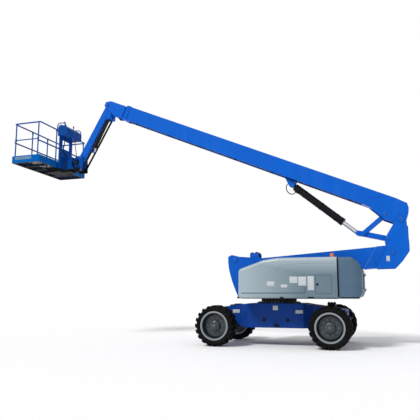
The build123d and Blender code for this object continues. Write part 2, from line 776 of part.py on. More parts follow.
def primary_boom():
    outside = [
        (-60, 330),
        (20, 430),
        (300, PRI_HIGH),
        (PRI_END, PRI_HIGH),
        (PRI_END, PRI_LOW),
        (150, PRI_LOW),
    ]
    tube = plate(outside, -PRI_HALF, PRI_HALF)
    clear = PRI_HALF - PRI_WALL
    bore = block(400, PRI_END + 10, -clear, clear, PRI_LOW + PRI_WALL, PRI_HIGH - PRI_WALL)
    wide = PRI_HALF + 12
    collar = block(PRI_END - 130, PRI_END, -wide, wide, PRI_LOW - 12, PRI_HIGH + 12)
    lug = [
        (-60, 330),
        (20, 430),
        (430, 440),
        (900, 200),
        (830, PRI_LOW),
        (505, -67),
        (380, -130),
        (110, -124),
        (-60, -105),
        (-120, 0),
        (-100, 200),
    ]
    cheek = cheeks(lug, PRI_HALF, PRI_HALF + PRI_LUG_T, 20)
    base = from_boom(PRI_PIVOT, PRI_ANGLE, LIFT_BARREL_PIN)
    heel = PRI_LOW + 3
    tip = base[1] - 60
    ear = [(base[0] - 70, heel), (base[0] - 70, tip), (base[0] + 60, tip), (base[0] + 260, heel)]
    foot = cheeks(ear, 56, 86, 12)
    link = from_boom(PRI_PIVOT, PRI_ANGLE, UPPER_LINK_PIN)
    pad = PRI_EXT_GAP - SLIDE_PLAY
    pad_top = block(PRI_END - 120, PRI_END - 10, -90, 90, PRI_HIGH - pad, PRI_HIGH - 5)
    pad_low = block(PRI_END - 120, PRI_END - 10, -90, 90, PRI_LOW + 5, PRI_LOW + pad)
    pad_side = block(PRI_END - 120, PRI_END - 10, PRI_HALF - pad, PRI_HALF - 5, 180, 330)
    body = tube + collar - bore + cheek + foot
    body = body + pin(link, LINK_PIN_R, -PRI_HALF - 10, PRI_HALF + 10)
    body = body + pin(base, LINK_PIN_R, -80, 80)
    body = body + pad_top + pad_low + pair(pad_side)
    body = body - pin((0, 0), PRI_PIN_R + RUNNING, -PRI_HALF - 60, PRI_HALF + 60)
    return set_on(PRI_PIVOT, PRI_ANGLE, body)


def primary_extension():
    low = PRI_LOW + PRI_EXT_GAP
    top = PRI_HIGH - PRI_EXT_GAP
    half = PRI_HALF - PRI_EXT_GAP
    tube = block(480, PRI_END + 150, -half, half, low, top)
    bore = block(470, PRI_END + 130, -half + 10, half - 10, low + 10, top - 10)
    head = from_boom(PRI_PIVOT, PRI_ANGLE, JIB_PIVOT)
    nose = [
        (PRI_END + 40, low),
        (PRI_END + 40, top),
        (head[0] - 60, top),
        (head[0] + 95, head[1] + 70),
        (head[0] + 95, head[1] - 60),
        (head[0] - 40, head[1] - 110),
        (PRI_END + 250, low - 60),
    ]
    cheek = cheeks(nose, HEAD_IN, HEAD_IN + HEAD_T, 25)
    jib_pin = pin(head, JIB_PIN_R, -HEAD_IN - HEAD_T - 8, HEAD_IN + HEAD_T + 8)
    body = tube - bore + cheek + jib_pin
    return set_on(PRI_PIVOT, PRI_ANGLE, body)


# Jib


def bellcrank():
    j = JIB_PIVOT
    m = CRANK_PIN
    e = RAM_PIN
    outline = [
        (j[0] + 60, j[1] + 55),
        (j[0] + 65, j[1] - 60),
        (m[0] + 60, m[1] - 50),
        (m[0] - 55, m[1] - 55),
        (j[0] - 115, j[1] - 200),
        (j[0] - 70, j[1] + 50),
    ]
    plates = cheeks(outline, CRANK_IN, CRANK_IN + CRANK_T, 30)
    back = j[0] - 110
    web = block(back, back + 20, -CRANK_IN - 5, CRANK_IN + 5, e[1] - 40, j[1] - 140)
    bridge = [
        (back, j[1] - 200),
        (back, e[1] - 44),
        (e[0] + 20, e[1] - 44),
        (e[0] + 44, e[1]),
        (e[0] + 5, e[1] + 40),
        (back + 60, j[1] - 250),
    ]
    inner = cheeks(bridge, 54, 84, 15)
    body = plates + web + inner + pin(e, 20, -84, 84)
    body = body + eyes(m, JIB_PIN_R, 88, CRANK_IN + CRANK_T + 6)
    return body - pin(j, JIB_PIN_R + RUNNING, -CRANK_IN - CRANK_T - 10, CRANK_IN + CRANK_T + 10)


def jib_boom():
    tube = block(30, JIB_LENGTH - 30, -JIB_HALF, JIB_HALF, -JIB_DEEP, JIB_DEEP)
    tube = tube - block(120, JIB_LENGTH - 120, -JIB_HALF + 8, JIB_HALF - 8, -JIB_DEEP + 8, JIB_DEEP - 8)
    top = pin((0, 0), JIB_DEEP, -JIB_HALF, JIB_HALF)
    top = top + pin((0, 0), JIB_BOSS_R, -CRANK_IN + 1, CRANK_IN - 1)
    foot = Pos(JIB_LENGTH, 0, 0) * top
    e = JIB_CYL_ALONG
    heel = -JIB_DEEP + 2
    tip = -JIB_CYL_BELOW - 38
    lug = cheeks([(e - 45, heel), (e - 38, tip), (e + 38, tip), (e + 120, heel)], 38, 58)
    stub = eyes((e, -JIB_CYL_BELOW), 20, 50, 66)
    body = tube + top + foot + lug + stub
    for x in (0, JIB_LENGTH):
        body = body - pin((x, 0), JIB_PIN_R + RUNNING, -CRANK_IN, CRANK_IN)
    return set_on(JIB_PIVOT, JIB_ANGLE, body)


def jib_arms():
    arm = bar(CRANK_PIN, MOUNT_PIN, ARM_R, ARM_IN, ARM_IN + ARM_T)
    for point in (CRANK_PIN, MOUNT_PIN):
        arm = arm + pin(point, JIB_PIN_R + 16, ARM_IN, ARM_IN + ARM_T)
        arm = arm - pin(point, JIB_PIN_R + RUNNING, 0, CRANK_IN)
    return pair(arm)


def platform_mount():
    k = JIB_FOOT
    n = MOUNT_PIN
    outline = [
        (k[0] - 70, k[1] + 60),
        (k[0] + 185, k[1] + 60),
        (k[0] + 185, n[1] - 60),
        (n[0] - 55, n[1] - 60),
        (n[0] - 55, n[1] + 60),
    ]
    plates = cheeks(outline, CRANK_IN, CRANK_IN + CRANK_T, 25)
    web = block(k[0] + 155, k[0] + 180, -CRANK_IN - 5, CRANK_IN + 5, n[1] - 40, k[1] + 40)
    saddle = block(k[0] + 170, ROTATOR_X, -100, 100, n[1] + 40, k[1] - 20)
    drum = post(ROTATOR_X, 0, ROTATOR_R, n[1] + 10, k[1] + 20)
    shaft = post(ROTATOR_X, 0, 50, n[1] - 35, k[1] + 65)
    body = plates + web + saddle + drum + shaft
    body = body + pin(k, JIB_PIN_R, -CRANK_IN - CRANK_T - 6, CRANK_IN + CRANK_T + 6)
    return body + eyes(n, JIB_PIN_R, 88, CRANK_IN + CRANK_T + 6)


# Platform


def platform_support():
    low = MOUNT_PIN[1] - 35
    high = JIB_FOOT[1] + 26
    lower = block(ROTATOR_X - 70, PLATFORM_REAR - 30, -130, 130, low, low + 39)
    upper = block(ROTATOR_X - 70, PLATFORM_REAR - 30, -130, 130, high, high + 39)
    arms = lower + upper - post(ROTATOR_X, 0, 50 + RUNNING, low - 10, high + 60)
    frame = block(PLATFORM_REAR - 70, PLATFORM_REAR - 30, -330, 330, low, TOP_RAIL - 200)
    frame = frame - block(PLATFORM_REAR - 90, PLATFORM_REAR, -200, 200, high + 300, TOP_RAIL - 280)
    tongue = block(PLATFORM_REAR - 70, PLATFORM_REAR + 400, -260, 260, low, FLOOR_LOW)
    return arms + frame + tongue


def platform_floor():
    x0 = PLATFORM_REAR
    x1 = PLATFORM_FRONT
    h = PLATFORM_HALF
    z0 = FLOOR_LOW
    z1 = z0 + FLOOR_FRAME
    body = block(x0, x1, -h, h, z0, z1) - block(x0 + 50, x1 - 50, -h + 50, h - 50, z0 - 5, z1 + 5)
    for y in (-700, -240, 240, 700):
        body = body + block(x0 + 10, x1 - 10, y - 20, y + 20, z0, z1)
    tray = block(x0, x1, -h, h, z1, z1 + TOE_BOARD)
    inside = block(x0 + TOE_T, x1 - TOE_T, -h + TOE_T, h - TOE_T, z1 + FLOOR_PLATE, z1 + TOE_BOARD + 5)
    b = FLOOR_BORDER
    sheet = block(x0 + b, x1 - b, -h + b, h - b, z1, z1 + FLOOR_PLATE + FLOOR_RISE)
    return body + (tray - inside) + sheet


def rail_loop(z):
    """Closed tube loop with rounded corners at this height."""
    depth = PLATFORM_DEPTH - 2 * RAIL_INSET
    width = 2 * PLATFORM_HALF - 2 * RAIL_INSET
    path = Pos((PLATFORM_REAR + PLATFORM_FRONT) / 2, 0, z) * RectangleRounded(depth, width, RAIL_CORNER)
    outline = path.wires()[0]
    section = Plane(origin=outline @ 0, z_dir=outline % 0) * Circle(RAIL_R)
    return sweep(section, path=outline)


def gate_posts():
    """X of the two end posts that the sliding gate bar runs on."""
    return (PLATFORM_REAR + POST_INSET, PLATFORM_FRONT - POST_INSET)


def platform_rails():
    foot = FLOOR_LOW + FLOOR_FRAME + FLOOR_PLATE
    side = PLATFORM_HALF - RAIL_INSET
    posts = gate_posts()
    gap = block(posts[0], posts[1], side - 60, side + 60, MID_RAIL - 60, MID_RAIL + 60)
    body = rail_loop(TOP_RAIL) + (rail_loop(MID_RAIL) - gap)
    for x in (PLATFORM_REAR + RAIL_INSET, PLATFORM_FRONT - RAIL_INSET):
        for y in RAIL_POSTS:
            body = body + post(x, y, POST_R, foot, TOP_RAIL)
    for y in (-side, side):
        for x in posts:
            body = body + post(x, y, POST_R, foot, TOP_RAIL)
    return body


def gate_bar():
    side = PLATFORM_HALF - RAIL_INSET
    posts = gate_posts()
    low = MID_RAIL + RAIL_R + SLIDE_PLAY
    high = low + 80
    middle = Pos((posts[0] + posts[1]) / 2, side, (low + high) / 2)
    body = middle * Rot(0, 90, 0) * Cylinder(RAIL_R - 5, posts[1] - posts[0])
    for x in posts:
        body = body + post(x, side, POST_R + 7, low, high)
    for x in posts:
        body = body - post(x, side, POST_R + RUNNING, low - 5, high + 5)
    return body


def control_box():
    outline = [
        (PLATFORM_REAR - 330, TOP_RAIL - 200),
        (PLATFORM_REAR - 330, TOP_RAIL + 20),
        (PLATFORM_REAR - 250, TOP_RAIL + 110),
        (PLATFORM_REAR - 60, TOP_RAIL + 120),
        (PLATFORM_REAR - 25, TOP_RAIL + 40),
        (PLATFORM_REAR - 25, TOP_RAIL - 200),
    ]
    return plate(outline, -400, 400, 12)


def build_all():
    """Every node by name, laid out from the slew axis."""
    nodes = {}
    nodes["chassis_frame"] = chassis_frame()
    nodes["slew_ring"] = slew_ring()
    ends = {"front": 1, "rear": -1}
    sides = {"left": 1, "right": -1}
    one_tyre = tyre()
    one_rim = rim()
    for end_name, end in ends.items():
        nodes[end_name + "_axle"] = axle(end)
        nodes[end_name + "_tie_rod"] = tie_rod(end)
        for side_name, side in sides.items():
            place = end_name + "_" + side_name
            nodes[place + "_knuckle"] = knuckle(end, side)
            nodes[place + "_tyre"] = on_wheel(end, side, one_tyre)
            nodes[place + "_rim"] = on_wheel(end, side, one_rim)
    nodes["turntable_frame"] = turntable_frame()
    nodes["counterweight"] = counterweight()
    nodes["engine_block"] = engine_block()
    nodes["left_cover"] = left_cover()
    nodes["right_cover"] = right_cover()
    nodes["beacon"] = beacon()
    nodes["control_door"] = control_door()
    nodes["control_panel"] = control_panel()
    nodes["secondary_boom"] = secondary_boom()
    nodes["secondary_extension"] = secondary_extension()
    nodes["secondary_barrel"] = secondary_barrel()
    nodes["secondary_rod"] = secondary_rod()
    nodes["upper_pivot"] = upper_pivot()
    nodes["lower_link"] = lower_link()
    nodes["upper_link"] = upper_link()
    nodes["primary_boom"] = primary_boom()
    nodes["primary_extension"] = primary_extension()
    nodes["lift_barrel"] = lift_barrel()
    nodes["lift_rod"] = lift_rod()
    nodes["bellcrank"] = bellcrank()
    nodes["jib_boom"] = jib_boom()
    nodes["jib_arms"] = jib_arms()
    nodes["jib_barrel"] = jib_barrel()
    nodes["jib_rod"] = jib_rod()
    nodes["platform_mount"] = platform_mount()
    nodes["platform_support"] = platform_support()
    nodes["platform_floor"] = platform_floor()
    nodes["platform_rails"] = platform_rails()
    nodes["gate_bar"] = gate_bar()
    nodes["control_box"] = control_box()
    return nodes


def main():
    os.makedirs("parts", exist_ok=True)
    for name, shape in build_all().items():
        export_step(Pos(-ORIGIN_X, 0, 0) * shape, "parts/" + name + ".step")


if __name__ == "__main__":
    main()
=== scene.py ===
# %% [markdown]
# # An articulating boom lift
# The imported model is the fixed frame of this lesson. It holds every load-bearing piece at its
# real size, so Blender adds what a fitter or a painter would: tread, nuts, hoses, trim and finish.

# %% Load the frame
import math

import bmesh
import bpy
from mathutils import Matrix, Vector


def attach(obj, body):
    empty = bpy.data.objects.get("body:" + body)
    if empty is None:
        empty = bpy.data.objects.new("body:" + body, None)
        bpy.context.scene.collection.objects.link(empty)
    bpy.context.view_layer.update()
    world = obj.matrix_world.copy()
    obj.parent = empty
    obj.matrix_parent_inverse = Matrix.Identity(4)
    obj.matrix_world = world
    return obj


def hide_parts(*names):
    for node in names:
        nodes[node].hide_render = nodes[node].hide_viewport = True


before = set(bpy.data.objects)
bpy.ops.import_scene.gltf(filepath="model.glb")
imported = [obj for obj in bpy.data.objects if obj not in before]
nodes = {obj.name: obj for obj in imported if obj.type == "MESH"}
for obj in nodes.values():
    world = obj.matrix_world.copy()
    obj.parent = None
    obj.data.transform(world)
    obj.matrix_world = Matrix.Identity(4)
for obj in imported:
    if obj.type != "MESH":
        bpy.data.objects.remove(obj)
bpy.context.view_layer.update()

scene = bpy.context.scene

# %% [markdown]
# ## Places on the machine
# A fitter measures from the slew axis, in millimetres. Two helpers turn such places into the
# frame's metres: one for a point, and one for the line of a boom that leans at some angle.

# %% Places
SLEW_X = -2.1515
SIDES = (1, -1)


def at(x, y, z):
    """Point in the frame, from millimetres measured at the slew axis on the ground."""
    return Vector((SLEW_X + x / 1000, y / 1000, z / 1000))


def along(pivot, angle):
    """Axes of a boom: X runs along it from its pivot, Z is square to it."""
    return Matrix.Translation(at(pivot[0], 0, pivot[1])) @ Matrix.Rotation(-math.radians(angle), 4, "Y")


PRIMARY = along((-3050, 3020), 23.5)
SECONDARY = along((1080, 2130), -4.4)
LIFT_RAM = along((-417, 4078), math.degrees(math.atan2(2743 - 4078, -2030 + 417)))
print("boom tip at", [round(c, 2) for c in PRIMARY @ Vector((8.3, 0, 0.25))])

# %% [markdown]
# ## Camera
# The picture was taken with a normal lens, low down on the machine's left and a little behind
# its middle. The place and the two angles come from fitting the wheels and the platform.

# %% Camera
LENS_MM = 44.8
YAW = math.radians(18.17)
PITCH = math.radians(8.96)
lens = bpy.data.cameras.new("picture_camera")
lens.lens = LENS_MM
lens.sensor_width = 36
lens.clip_end = 500
camera = bpy.data.objects.new("picture_camera", lens)
scene.collection.objects.link(camera)
scene.camera = camera
camera.location = at(-2562, 13501, 1286)
look = Vector((math.sin(YAW) * math.cos(PITCH), -math.cos(YAW) * math.cos(PITCH), math.sin(PITCH)))
camera.rotation_euler = look.to_track_quat("-Z", "Y").to_euler()
print("camera", [round(c, 3) for c in camera.location])

# %% [markdown]
# ## Writing shader sums
# A shader graph is a sum on values that change over a surface. One small class holds a socket, so
# that a mask can be written as a line of arithmetic, and one method makes every other node.


# %% The class
class Tone:
    """A socket of a node tree. Arithmetic on tones adds Math nodes."""

    def __init__(self, tree, socket=None):
        self.tree = tree
        self.socket = socket

    def node(self, kind, settings=None, inputs=None, out=0):
        """New node: its settings first, then its sockets' values or links."""
        made = self.tree.nodes.new(kind)
        for key, value in (settings or {}).items():
            setattr(made, key, value)
        for key, value in (inputs or {}).items():
            if isinstance(value, Tone):
                self.tree.links.new(value.socket, made.inputs[key])
            else:
                made.inputs[key].default_value = value
        return Tone(self.tree, made.outputs[out])

    def maths(self, operation, first, second=0.0):
        return self.node("ShaderNodeMath", {"operation": operation}, {0: first, 1: second})

    def __add__(self, other):
        return self.maths("ADD", self, other)

    def __radd__(self, other):
        return self.maths("ADD", other, self)

    def __sub__(self, other):
        return self.maths("SUBTRACT", self, other)

    def __rsub__(self, other):
        return self.maths("SUBTRACT", other, self)

    def __mul__(self, other):
        return self.maths("MULTIPLY", self, other)

    def __rmul__(self, other):
        return self.maths("MULTIPLY", other, self)

    def __gt__(self, other):
        return self.maths("GREATER_THAN", self, other)

    def __lt__(self, other):
        return self.maths("LESS_THAN", self, other)

    def top(self, other):
        return self.maths("MAXIMUM", self, other)

    def held(self):
        """The same tone, kept from 0 to 1."""
        return self.node("ShaderNodeClamp", None, {"Value": self})

    def zigzag(self, pitch):
        """Distance up and down in a repeat of this pitch."""
        return self.maths("PINGPONG", self, pitch)

    def ramp(self, low, high):
        """0 below low, 1 above high."""
        sockets = {"Value": self, "From Min": low, "From Max": high}
        return self.node("ShaderNodeMapRange", None, sockets)

    def part(self, axis):
        """One axis of a vector."""
        return self.node("ShaderNodeSeparateXYZ", None, {0: self}, axis)

    def mix(self, low, high):
        """Colour between low and high by this tone."""
        return self.node("ShaderNodeMix", {"data_type": "RGBA"}, {0: self, 6: low, 7: high}, 2)

    def cloud(self, scale, detail=3.0):
        """Soft noise at these coordinates."""
        sockets = {"Vector": self, "Scale": scale, "Detail": detail, "Roughness": 0.6}
        return self.node("ShaderNodeTexNoise", None, sockets)

    def scaled(self, sizes, shift=(0, 0, 0)):
        """Coordinates moved by shift and then stretched."""
        moved = self.node("ShaderNodeVectorMath", {"operation": "ADD"}, {0: self, 1: shift})
        return self.node("ShaderNodeVectorMath", {"operation": "MULTIPLY"}, {0: moved, 1: sizes})

    def bump(self, depth, strength=0.5):
        """Normal of a surface with this height."""
        sockets = {"Height": self, "Distance": depth, "Strength": strength}
        return self.node("ShaderNodeBump", None, sockets)


def new_finish(name):
    """Material, its shader, and the coordinates that its pattern reads."""
    material = bpy.data.materials.new(name)
    material.use_nodes = True
    tree = material.node_tree
    place = Tone(tree).node("ShaderNodeTexCoord", None, None, "Object")
    return material, tree.nodes["Principled BSDF"], place


def feed(shader, **sockets):
    """Set the shader's sockets; an underscore stands for a space in the name."""
    for name, value in sockets.items():
        socket = shader.inputs[name.replace("_", " ")]
        if isinstance(value, Tone):
            value.tree.links.new(value.socket, socket)
        else:
            socket.default_value = value


def rgb(red, green, blue):
    return (red, green, blue, 1.0)


print("shader class ready")

# %% [markdown]
# ## Studio
# The machine stands on a plain pale floor under a big soft lamp. The lamp and the sky together
# give a white card about its own brightness, so every colour can be written as it should look.
# Rays from the camera see a white backdrop, but the light that falls on the machine stays plain.

# %% Studio
SKY_LIGHT = 0.55
BACKDROP = 1.0
world = bpy.data.worlds.new("studio")
world.use_nodes = True
scene.world = world
paths = world.node_tree.nodes.new("ShaderNodeLightPath")
seen = Tone(world.node_tree, paths.outputs["Is Camera Ray"])
for kind in ("Is Glossy Ray", "Is Transmission Ray"):
    seen = seen.top(Tone(world.node_tree, paths.outputs[kind]))
sky = world.node_tree.nodes["Background"]
sky.inputs["Color"].default_value = rgb(1, 1, 1)
feed(sky, Strength=SKY_LIGHT + seen * (BACKDROP - SKY_LIGHT))

lamp = bpy.data.lights.new("soft_lamp", "SUN")
lamp.energy = 2.1
lamp.angle = math.radians(14)
lamp_object = bpy.data.objects.new("soft_lamp", lamp)
scene.collection.objects.link(lamp_object)
lamp_object.rotation_euler = Vector((-0.34, -0.62, -0.74)).to_track_quat("-Z", "Y").to_euler()

FLOOR_REACH = 150
floor_mesh = bpy.data.meshes.new("floor")
floor_work = bmesh.new()
bmesh.ops.create_grid(floor_work, x_segments=1, y_segments=1, size=FLOOR_REACH)
floor_work.to_mesh(floor_mesh)
floor_work.free()
studio_floor = bpy.data.objects.new("floor", floor_mesh)
scene.collection.objects.link(studio_floor)
floor_finish, floor_shader, floor_place = new_finish("pale_floor")
floor_tone = floor_place.cloud(0.4).mix(rgb(0.955, 0.955, 0.96), rgb(0.975, 0.975, 0.975))
feed(floor_shader, Base_Color=floor_tone, Roughness=0.9)
studio_floor.data.materials.append(floor_finish)
scene.view_settings.view_transform = "Standard"
print("studio ready, floor", 2 * FLOOR_REACH, "m across")

# %% [markdown]
# ## Paint
# The steel is sprayed with gloss enamel. Close up, enamel has an orange-peel skin and small
# differences of shade, it takes dust on faces that look up, and rain draws it down in streaks.
# One function makes every paint. Low pieces get a share of road dirt as well, and the hoods have
# a painted highlight that lightens them towards their top and front, standing in for the sky's
# reflection.

# %% Paint finishes
DUST = rgb(0.42, 0.41, 0.38)
MUD = rgb(0.10, 0.085, 0.065)
BLACK = rgb(0.012, 0.012, 0.014)
MUD_TO = (0.15, 1.0)
# Heights and places along the machine over which the hoods' painted highlight comes in.
SHEEN_UP = (1.68, 2.10)
SHEEN_FRONT = (-2.95, -1.55)


def enamel(
    name, colour, shade, gloss, dirt=0.0, skin=0.35, dusty=0.04, black_below=None, painted_sheen=None, shine=0.10
):
    """Sprayed paint from colour to shade.

    dirt is the share of mud near the ground, skin the depth of the orange peel, dusty the share
    of dust, black_below a height under which the piece is black, painted_sheen the colour of the
    painted highlight that lightens the top and front, and shine the strength of its mirror gloss.
    """
    material, shader, place = new_finish(name)
    patches = place.cloud(1.7, 4.0)
    streaks = place.scaled((9, 9, 0.7)).cloud(1.0, 4.0).ramp(0.5, 0.8)
    facing = place.node("ShaderNodeNewGeometry", None, None, "Normal").part(2).held()
    dust = (facing * place.cloud(5.0) * dusty * 2 + streaks * dusty * 0.5).held()
    tone = patches.ramp(0.3, 0.75).mix(colour, shade)
    # Painted highlight: the hood is lighter towards its top and front.
    if painted_sheen:
        sheen_mask = place.part(2).ramp(*SHEEN_UP).top(place.part(0).ramp(*SHEEN_FRONT) * 0.85)
        tone = sheen_mask.mix(tone, painted_sheen)
    if black_below:
        tone = (place.part(2) < black_below).mix(tone, BLACK)
    tone = dust.mix(tone, DUST)
    rough = gloss + 0.16 * patches + 0.4 * dust
    if dirt:
        height = place.part(2)
        splash = (1 - height.ramp(*MUD_TO)) * place.cloud(7.0, 5.0).ramp(0.35, 0.75) * dirt
        tone = splash.mix(tone, MUD)
        rough = rough + 0.35 * splash
    peel = place.cloud(140, 2.0).bump(0.0012, skin)
    feed(shader, Base_Color=tone, Roughness=rough.held(), Normal=peel)
    feed(shader, Specular_IOR_Level=shine, Coat_Weight=0.03, Coat_Roughness=0.12)
    return material


DECK_EDGE = 1.177
SUPPORT_EDGE = 4.996
boom_blue = enamel("boom_blue", rgb(0.0005, 0.108, 0.56), rgb(0.0005, 0.094, 0.50), 0.26)
deck_blue = enamel(
    "deck_blue", rgb(0.0005, 0.10, 0.53), rgb(0.0005, 0.086, 0.47), 0.30, black_below=DECK_EDGE
)
arm_blue = enamel(
    "arm_blue", rgb(0.001, 0.074, 0.36), rgb(0.001, 0.060, 0.31), 0.40,
    black_below=SUPPORT_EDGE, shine=0.015,
)
# The chassis blue is darker than the boom blue as painted shade under the turntable, and it takes mud
# near the ground.
shaded_muddy_blue = enamel("chassis_blue", rgb(0.0005, 0.048, 0.30), rgb(0.0005, 0.040, 0.25), 0.32, dirt=0.20)
box_blue = enamel(
    "box_blue", rgb(0.001, 0.068, 0.33), rgb(0.001, 0.056, 0.28), 0.38, skin=0.6, dusty=0.01, shine=0.05
)
# A lighter blue than the booms, for the painted highlight on the collar's slanted edge.
highlight_bead_blue = enamel("highlight_bead_blue", rgb(0.03, 0.22, 0.72), rgb(0.02, 0.19, 0.66), 0.14, shine=0.5)
rail_blue = enamel("rail_blue", rgb(0.001, 0.088, 0.37), rgb(0.001, 0.072, 0.32), 0.30)
# Colour of the painted highlight on the hoods' top and front.
SHEEN_GREY = rgb(0.36, 0.435, 0.475)
cover_grey = enamel(
    "cover_grey", rgb(0.125, 0.185, 0.225), rgb(0.108, 0.162, 0.20), 0.20, painted_sheen=SHEEN_GREY, shine=0.35
)
weight_grey = enamel("weight_grey", rgb(0.085, 0.145, 0.215), rgb(0.07, 0.12, 0.18), 0.42, skin=0.9)
trim_black = enamel("trim_black", rgb(0.006, 0.006, 0.008), rgb(0.010, 0.010, 0.012), 0.35, dusty=0.015)
ram_black = enamel("ram_black", rgb(0.004, 0.0045, 0.006), rgb(0.006, 0.007, 0.009), 0.24, dusty=0.003)
dark_iron = enamel("dark_iron", rgb(0.018, 0.019, 0.022), rgb(0.032, 0.030, 0.028), 0.55, dirt=0.3)
red_knob = enamel("red_knob", rgb(0.55, 0.012, 0.010), rgb(0.45, 0.01, 0.01), 0.25, dusty=0.02)
toe_grey = enamel("toe_plate", rgb(0.13, 0.25, 0.36), rgb(0.11, 0.22, 0.32), 0.4, dusty=0.03)
plate_white = enamel("blank_plate", rgb(0.52, 0.56, 0.59), rgb(0.44, 0.48, 0.51), 0.4, dusty=0.03)
print("paints made")

# %% [markdown]
# ## Bright metal, rubber and lens
# The rods are hard chrome with fine marks along their stroke. Nuts and pins are zinc plated.
# Tyres are matt and hold dust in patches, and the beacon is ribbed amber plastic.

# %% Metal, rubber and lens finishes


def bright(name, colour, dull, rough):
    """Plated metal with cloudy wear."""
    material, shader, place = new_finish(name)
    wear = place.cloud(22.0, 4.0)
    feed(shader, Base_Color=wear.mix(colour, dull), Roughness=rough + 0.18 * wear, Metallic=1.0)
    feed(shader, Normal=place.scaled((60, 60, 400)).cloud(1.0).bump(0.0005, 0.2))
    return material


def rubber(name, dusty):
    """Black rubber, with dust where the noise is high."""
    material, shader, place = new_finish(name)
    dust = place.cloud(6.0, 5.0).ramp(0.45, 0.8) * dusty
    fine = place.cloud(90.0, 3.0)
    feed(shader, Base_Color=dust.mix(rgb(0.003, 0.003, 0.0034), rgb(0.045, 0.043, 0.040)))
    feed(shader, Roughness=0.62 + 0.22 * fine, Normal=fine.bump(0.002, 0.35), Specular_IOR_Level=0.08)
    return material


chrome = bright("rod_chrome", rgb(0.72, 0.72, 0.75), rgb(0.52, 0.52, 0.56), 0.10)
zinc = bright("zinc_plate", rgb(0.38, 0.39, 0.40), rgb(0.24, 0.24, 0.25), 0.32)
dull_zinc = bright("dull_zinc", rgb(0.16, 0.18, 0.22), rgb(0.09, 0.10, 0.12), 0.42)
tyre_rubber = rubber("tyre_rubber", 0.15)
hose_rubber = rubber("hose_rubber", 0.12)

amber, amber_shader, amber_place = new_finish("amber_lens")
ribs = amber_place.part(2).zigzag(0.006)
amber_tone = amber_place.cloud(30).mix(rgb(0.90, 0.20, 0.015), rgb(0.80, 0.15, 0.01))
feed(amber_shader, Base_Color=amber_tone, Roughness=0.18 + 8 * ribs, Normal=ribs.bump(0.5, 0.5))
print("metal, rubber and lens made")

# %% [markdown]
# ## Wheel paint and platform grating
# A wheel's lip carries a painted highlight and is brighter than its dish, so the rim's paint depends
# on the distance from the axle. The platform's floor is expanded metal: the plate is cut away by an
# alpha pattern of diamonds, while its frame and toe boards keep their blue paint.

# %% Rim paint and grating
AXLE_MM = 1370
TRACK_MM = 1035
HUB_MM = 490
WHEELS = {"front_left": (1, 1), "front_right": (1, -1), "rear_left": (-1, 1), "rear_right": (-1, -1)}


def rim_paint(name, end, side):
    """Grey wheel paint round one axle end, with a painted highlight at the lip."""
    material, shader, place = new_finish(name)
    hub = at(end * AXLE_MM, side * TRACK_MM, HUB_MM)
    flat = place.scaled((1, 0, 1), tuple(-hub))
    reach = flat.node("ShaderNodeVectorMath", {"operation": "LENGTH"}, {0: flat}, "Value")
    # The lip is paler than the dish: a painted highlight on the rim's flange.
    lip = reach.ramp(0.300, 0.318)
    spots = place.cloud(9.0, 5.0)
    dust = spots.ramp(0.4, 0.8) * 0.12
    tone = spots.mix(rgb(0.030, 0.040, 0.048), rgb(0.045, 0.057, 0.066))
    tone = lip.mix(tone, rgb(0.24, 0.265, 0.28))
    tone = dust.mix(tone, rgb(0.16, 0.145, 0.12))
    feed(shader, Base_Color=tone, Roughness=0.34 + 0.3 * dust, Specular_IOR_Level=0.35)
    feed(shader, Normal=place.cloud(120).bump(0.001, 0.3))
    return material


FLOOR_PLATE = (5.0545, 5.0675)
PLATFORM_MID = SLEW_X + 7.080
MESH_LONG = 0.062
MESH_WIDE = 0.026
BAR_SHARE = 0.16
grating, grating_shader, grating_place = new_finish("platform_grating")
across = grating_place.part(0) * (1 / MESH_WIDE)
lengthways = grating_place.part(1) * (1 / MESH_LONG)
rising = (across + lengthways).zigzag(0.5) < BAR_SHARE
falling = (across - lengthways).zigzag(0.5) < BAR_SHARE
bars = rising.top(falling)
level = grating_place.part(2)
is_plate = (level > FLOOR_PLATE[0]) * (level < FLOOR_PLATE[1])
steel = grating_place.cloud(12).mix(rgb(0.009, 0.011, 0.016), rgb(0.018, 0.020, 0.028))
edge_blue = grating_place.cloud(2).mix(rgb(0.001, 0.115, 0.42), rgb(0.001, 0.095, 0.36))
upright = grating_place.node("ShaderNodeNewGeometry", None, None, "Normal").part(2)
flat_face = upright.maths("ABSOLUTE", upright) > 0.5
tread = is_plate * flat_face
x_mid = grating_place.part(0) + (-PLATFORM_MID)
y_out = grating_place.part(1)
inside = (x_mid.maths("ABSOLUTE", x_mid) < 0.4585) * (y_out.maths("ABSOLUTE", y_out) < 1.2185)
below = inside * (level < FLOOR_PLATE[0])
feed(grating_shader, Base_Color=tread.top(below).mix(edge_blue, steel), Roughness=0.35 + 0.25 * tread)
feed(grating_shader, Alpha=1 - tread * (1 - bars), Specular_IOR_Level=0.03)
feed(grating_shader, Normal=grating_place.cloud(80).bump(0.001, 0.4))
print("rim and grating finishes made")

# %% [markdown]
# ## Painting the frame
# Each solid of the frame gets the finish of its own paint shop: booms gloss, chassis muddy and darker,
# with painted shade from the turntable above.

# %% Assign finishes to the frame


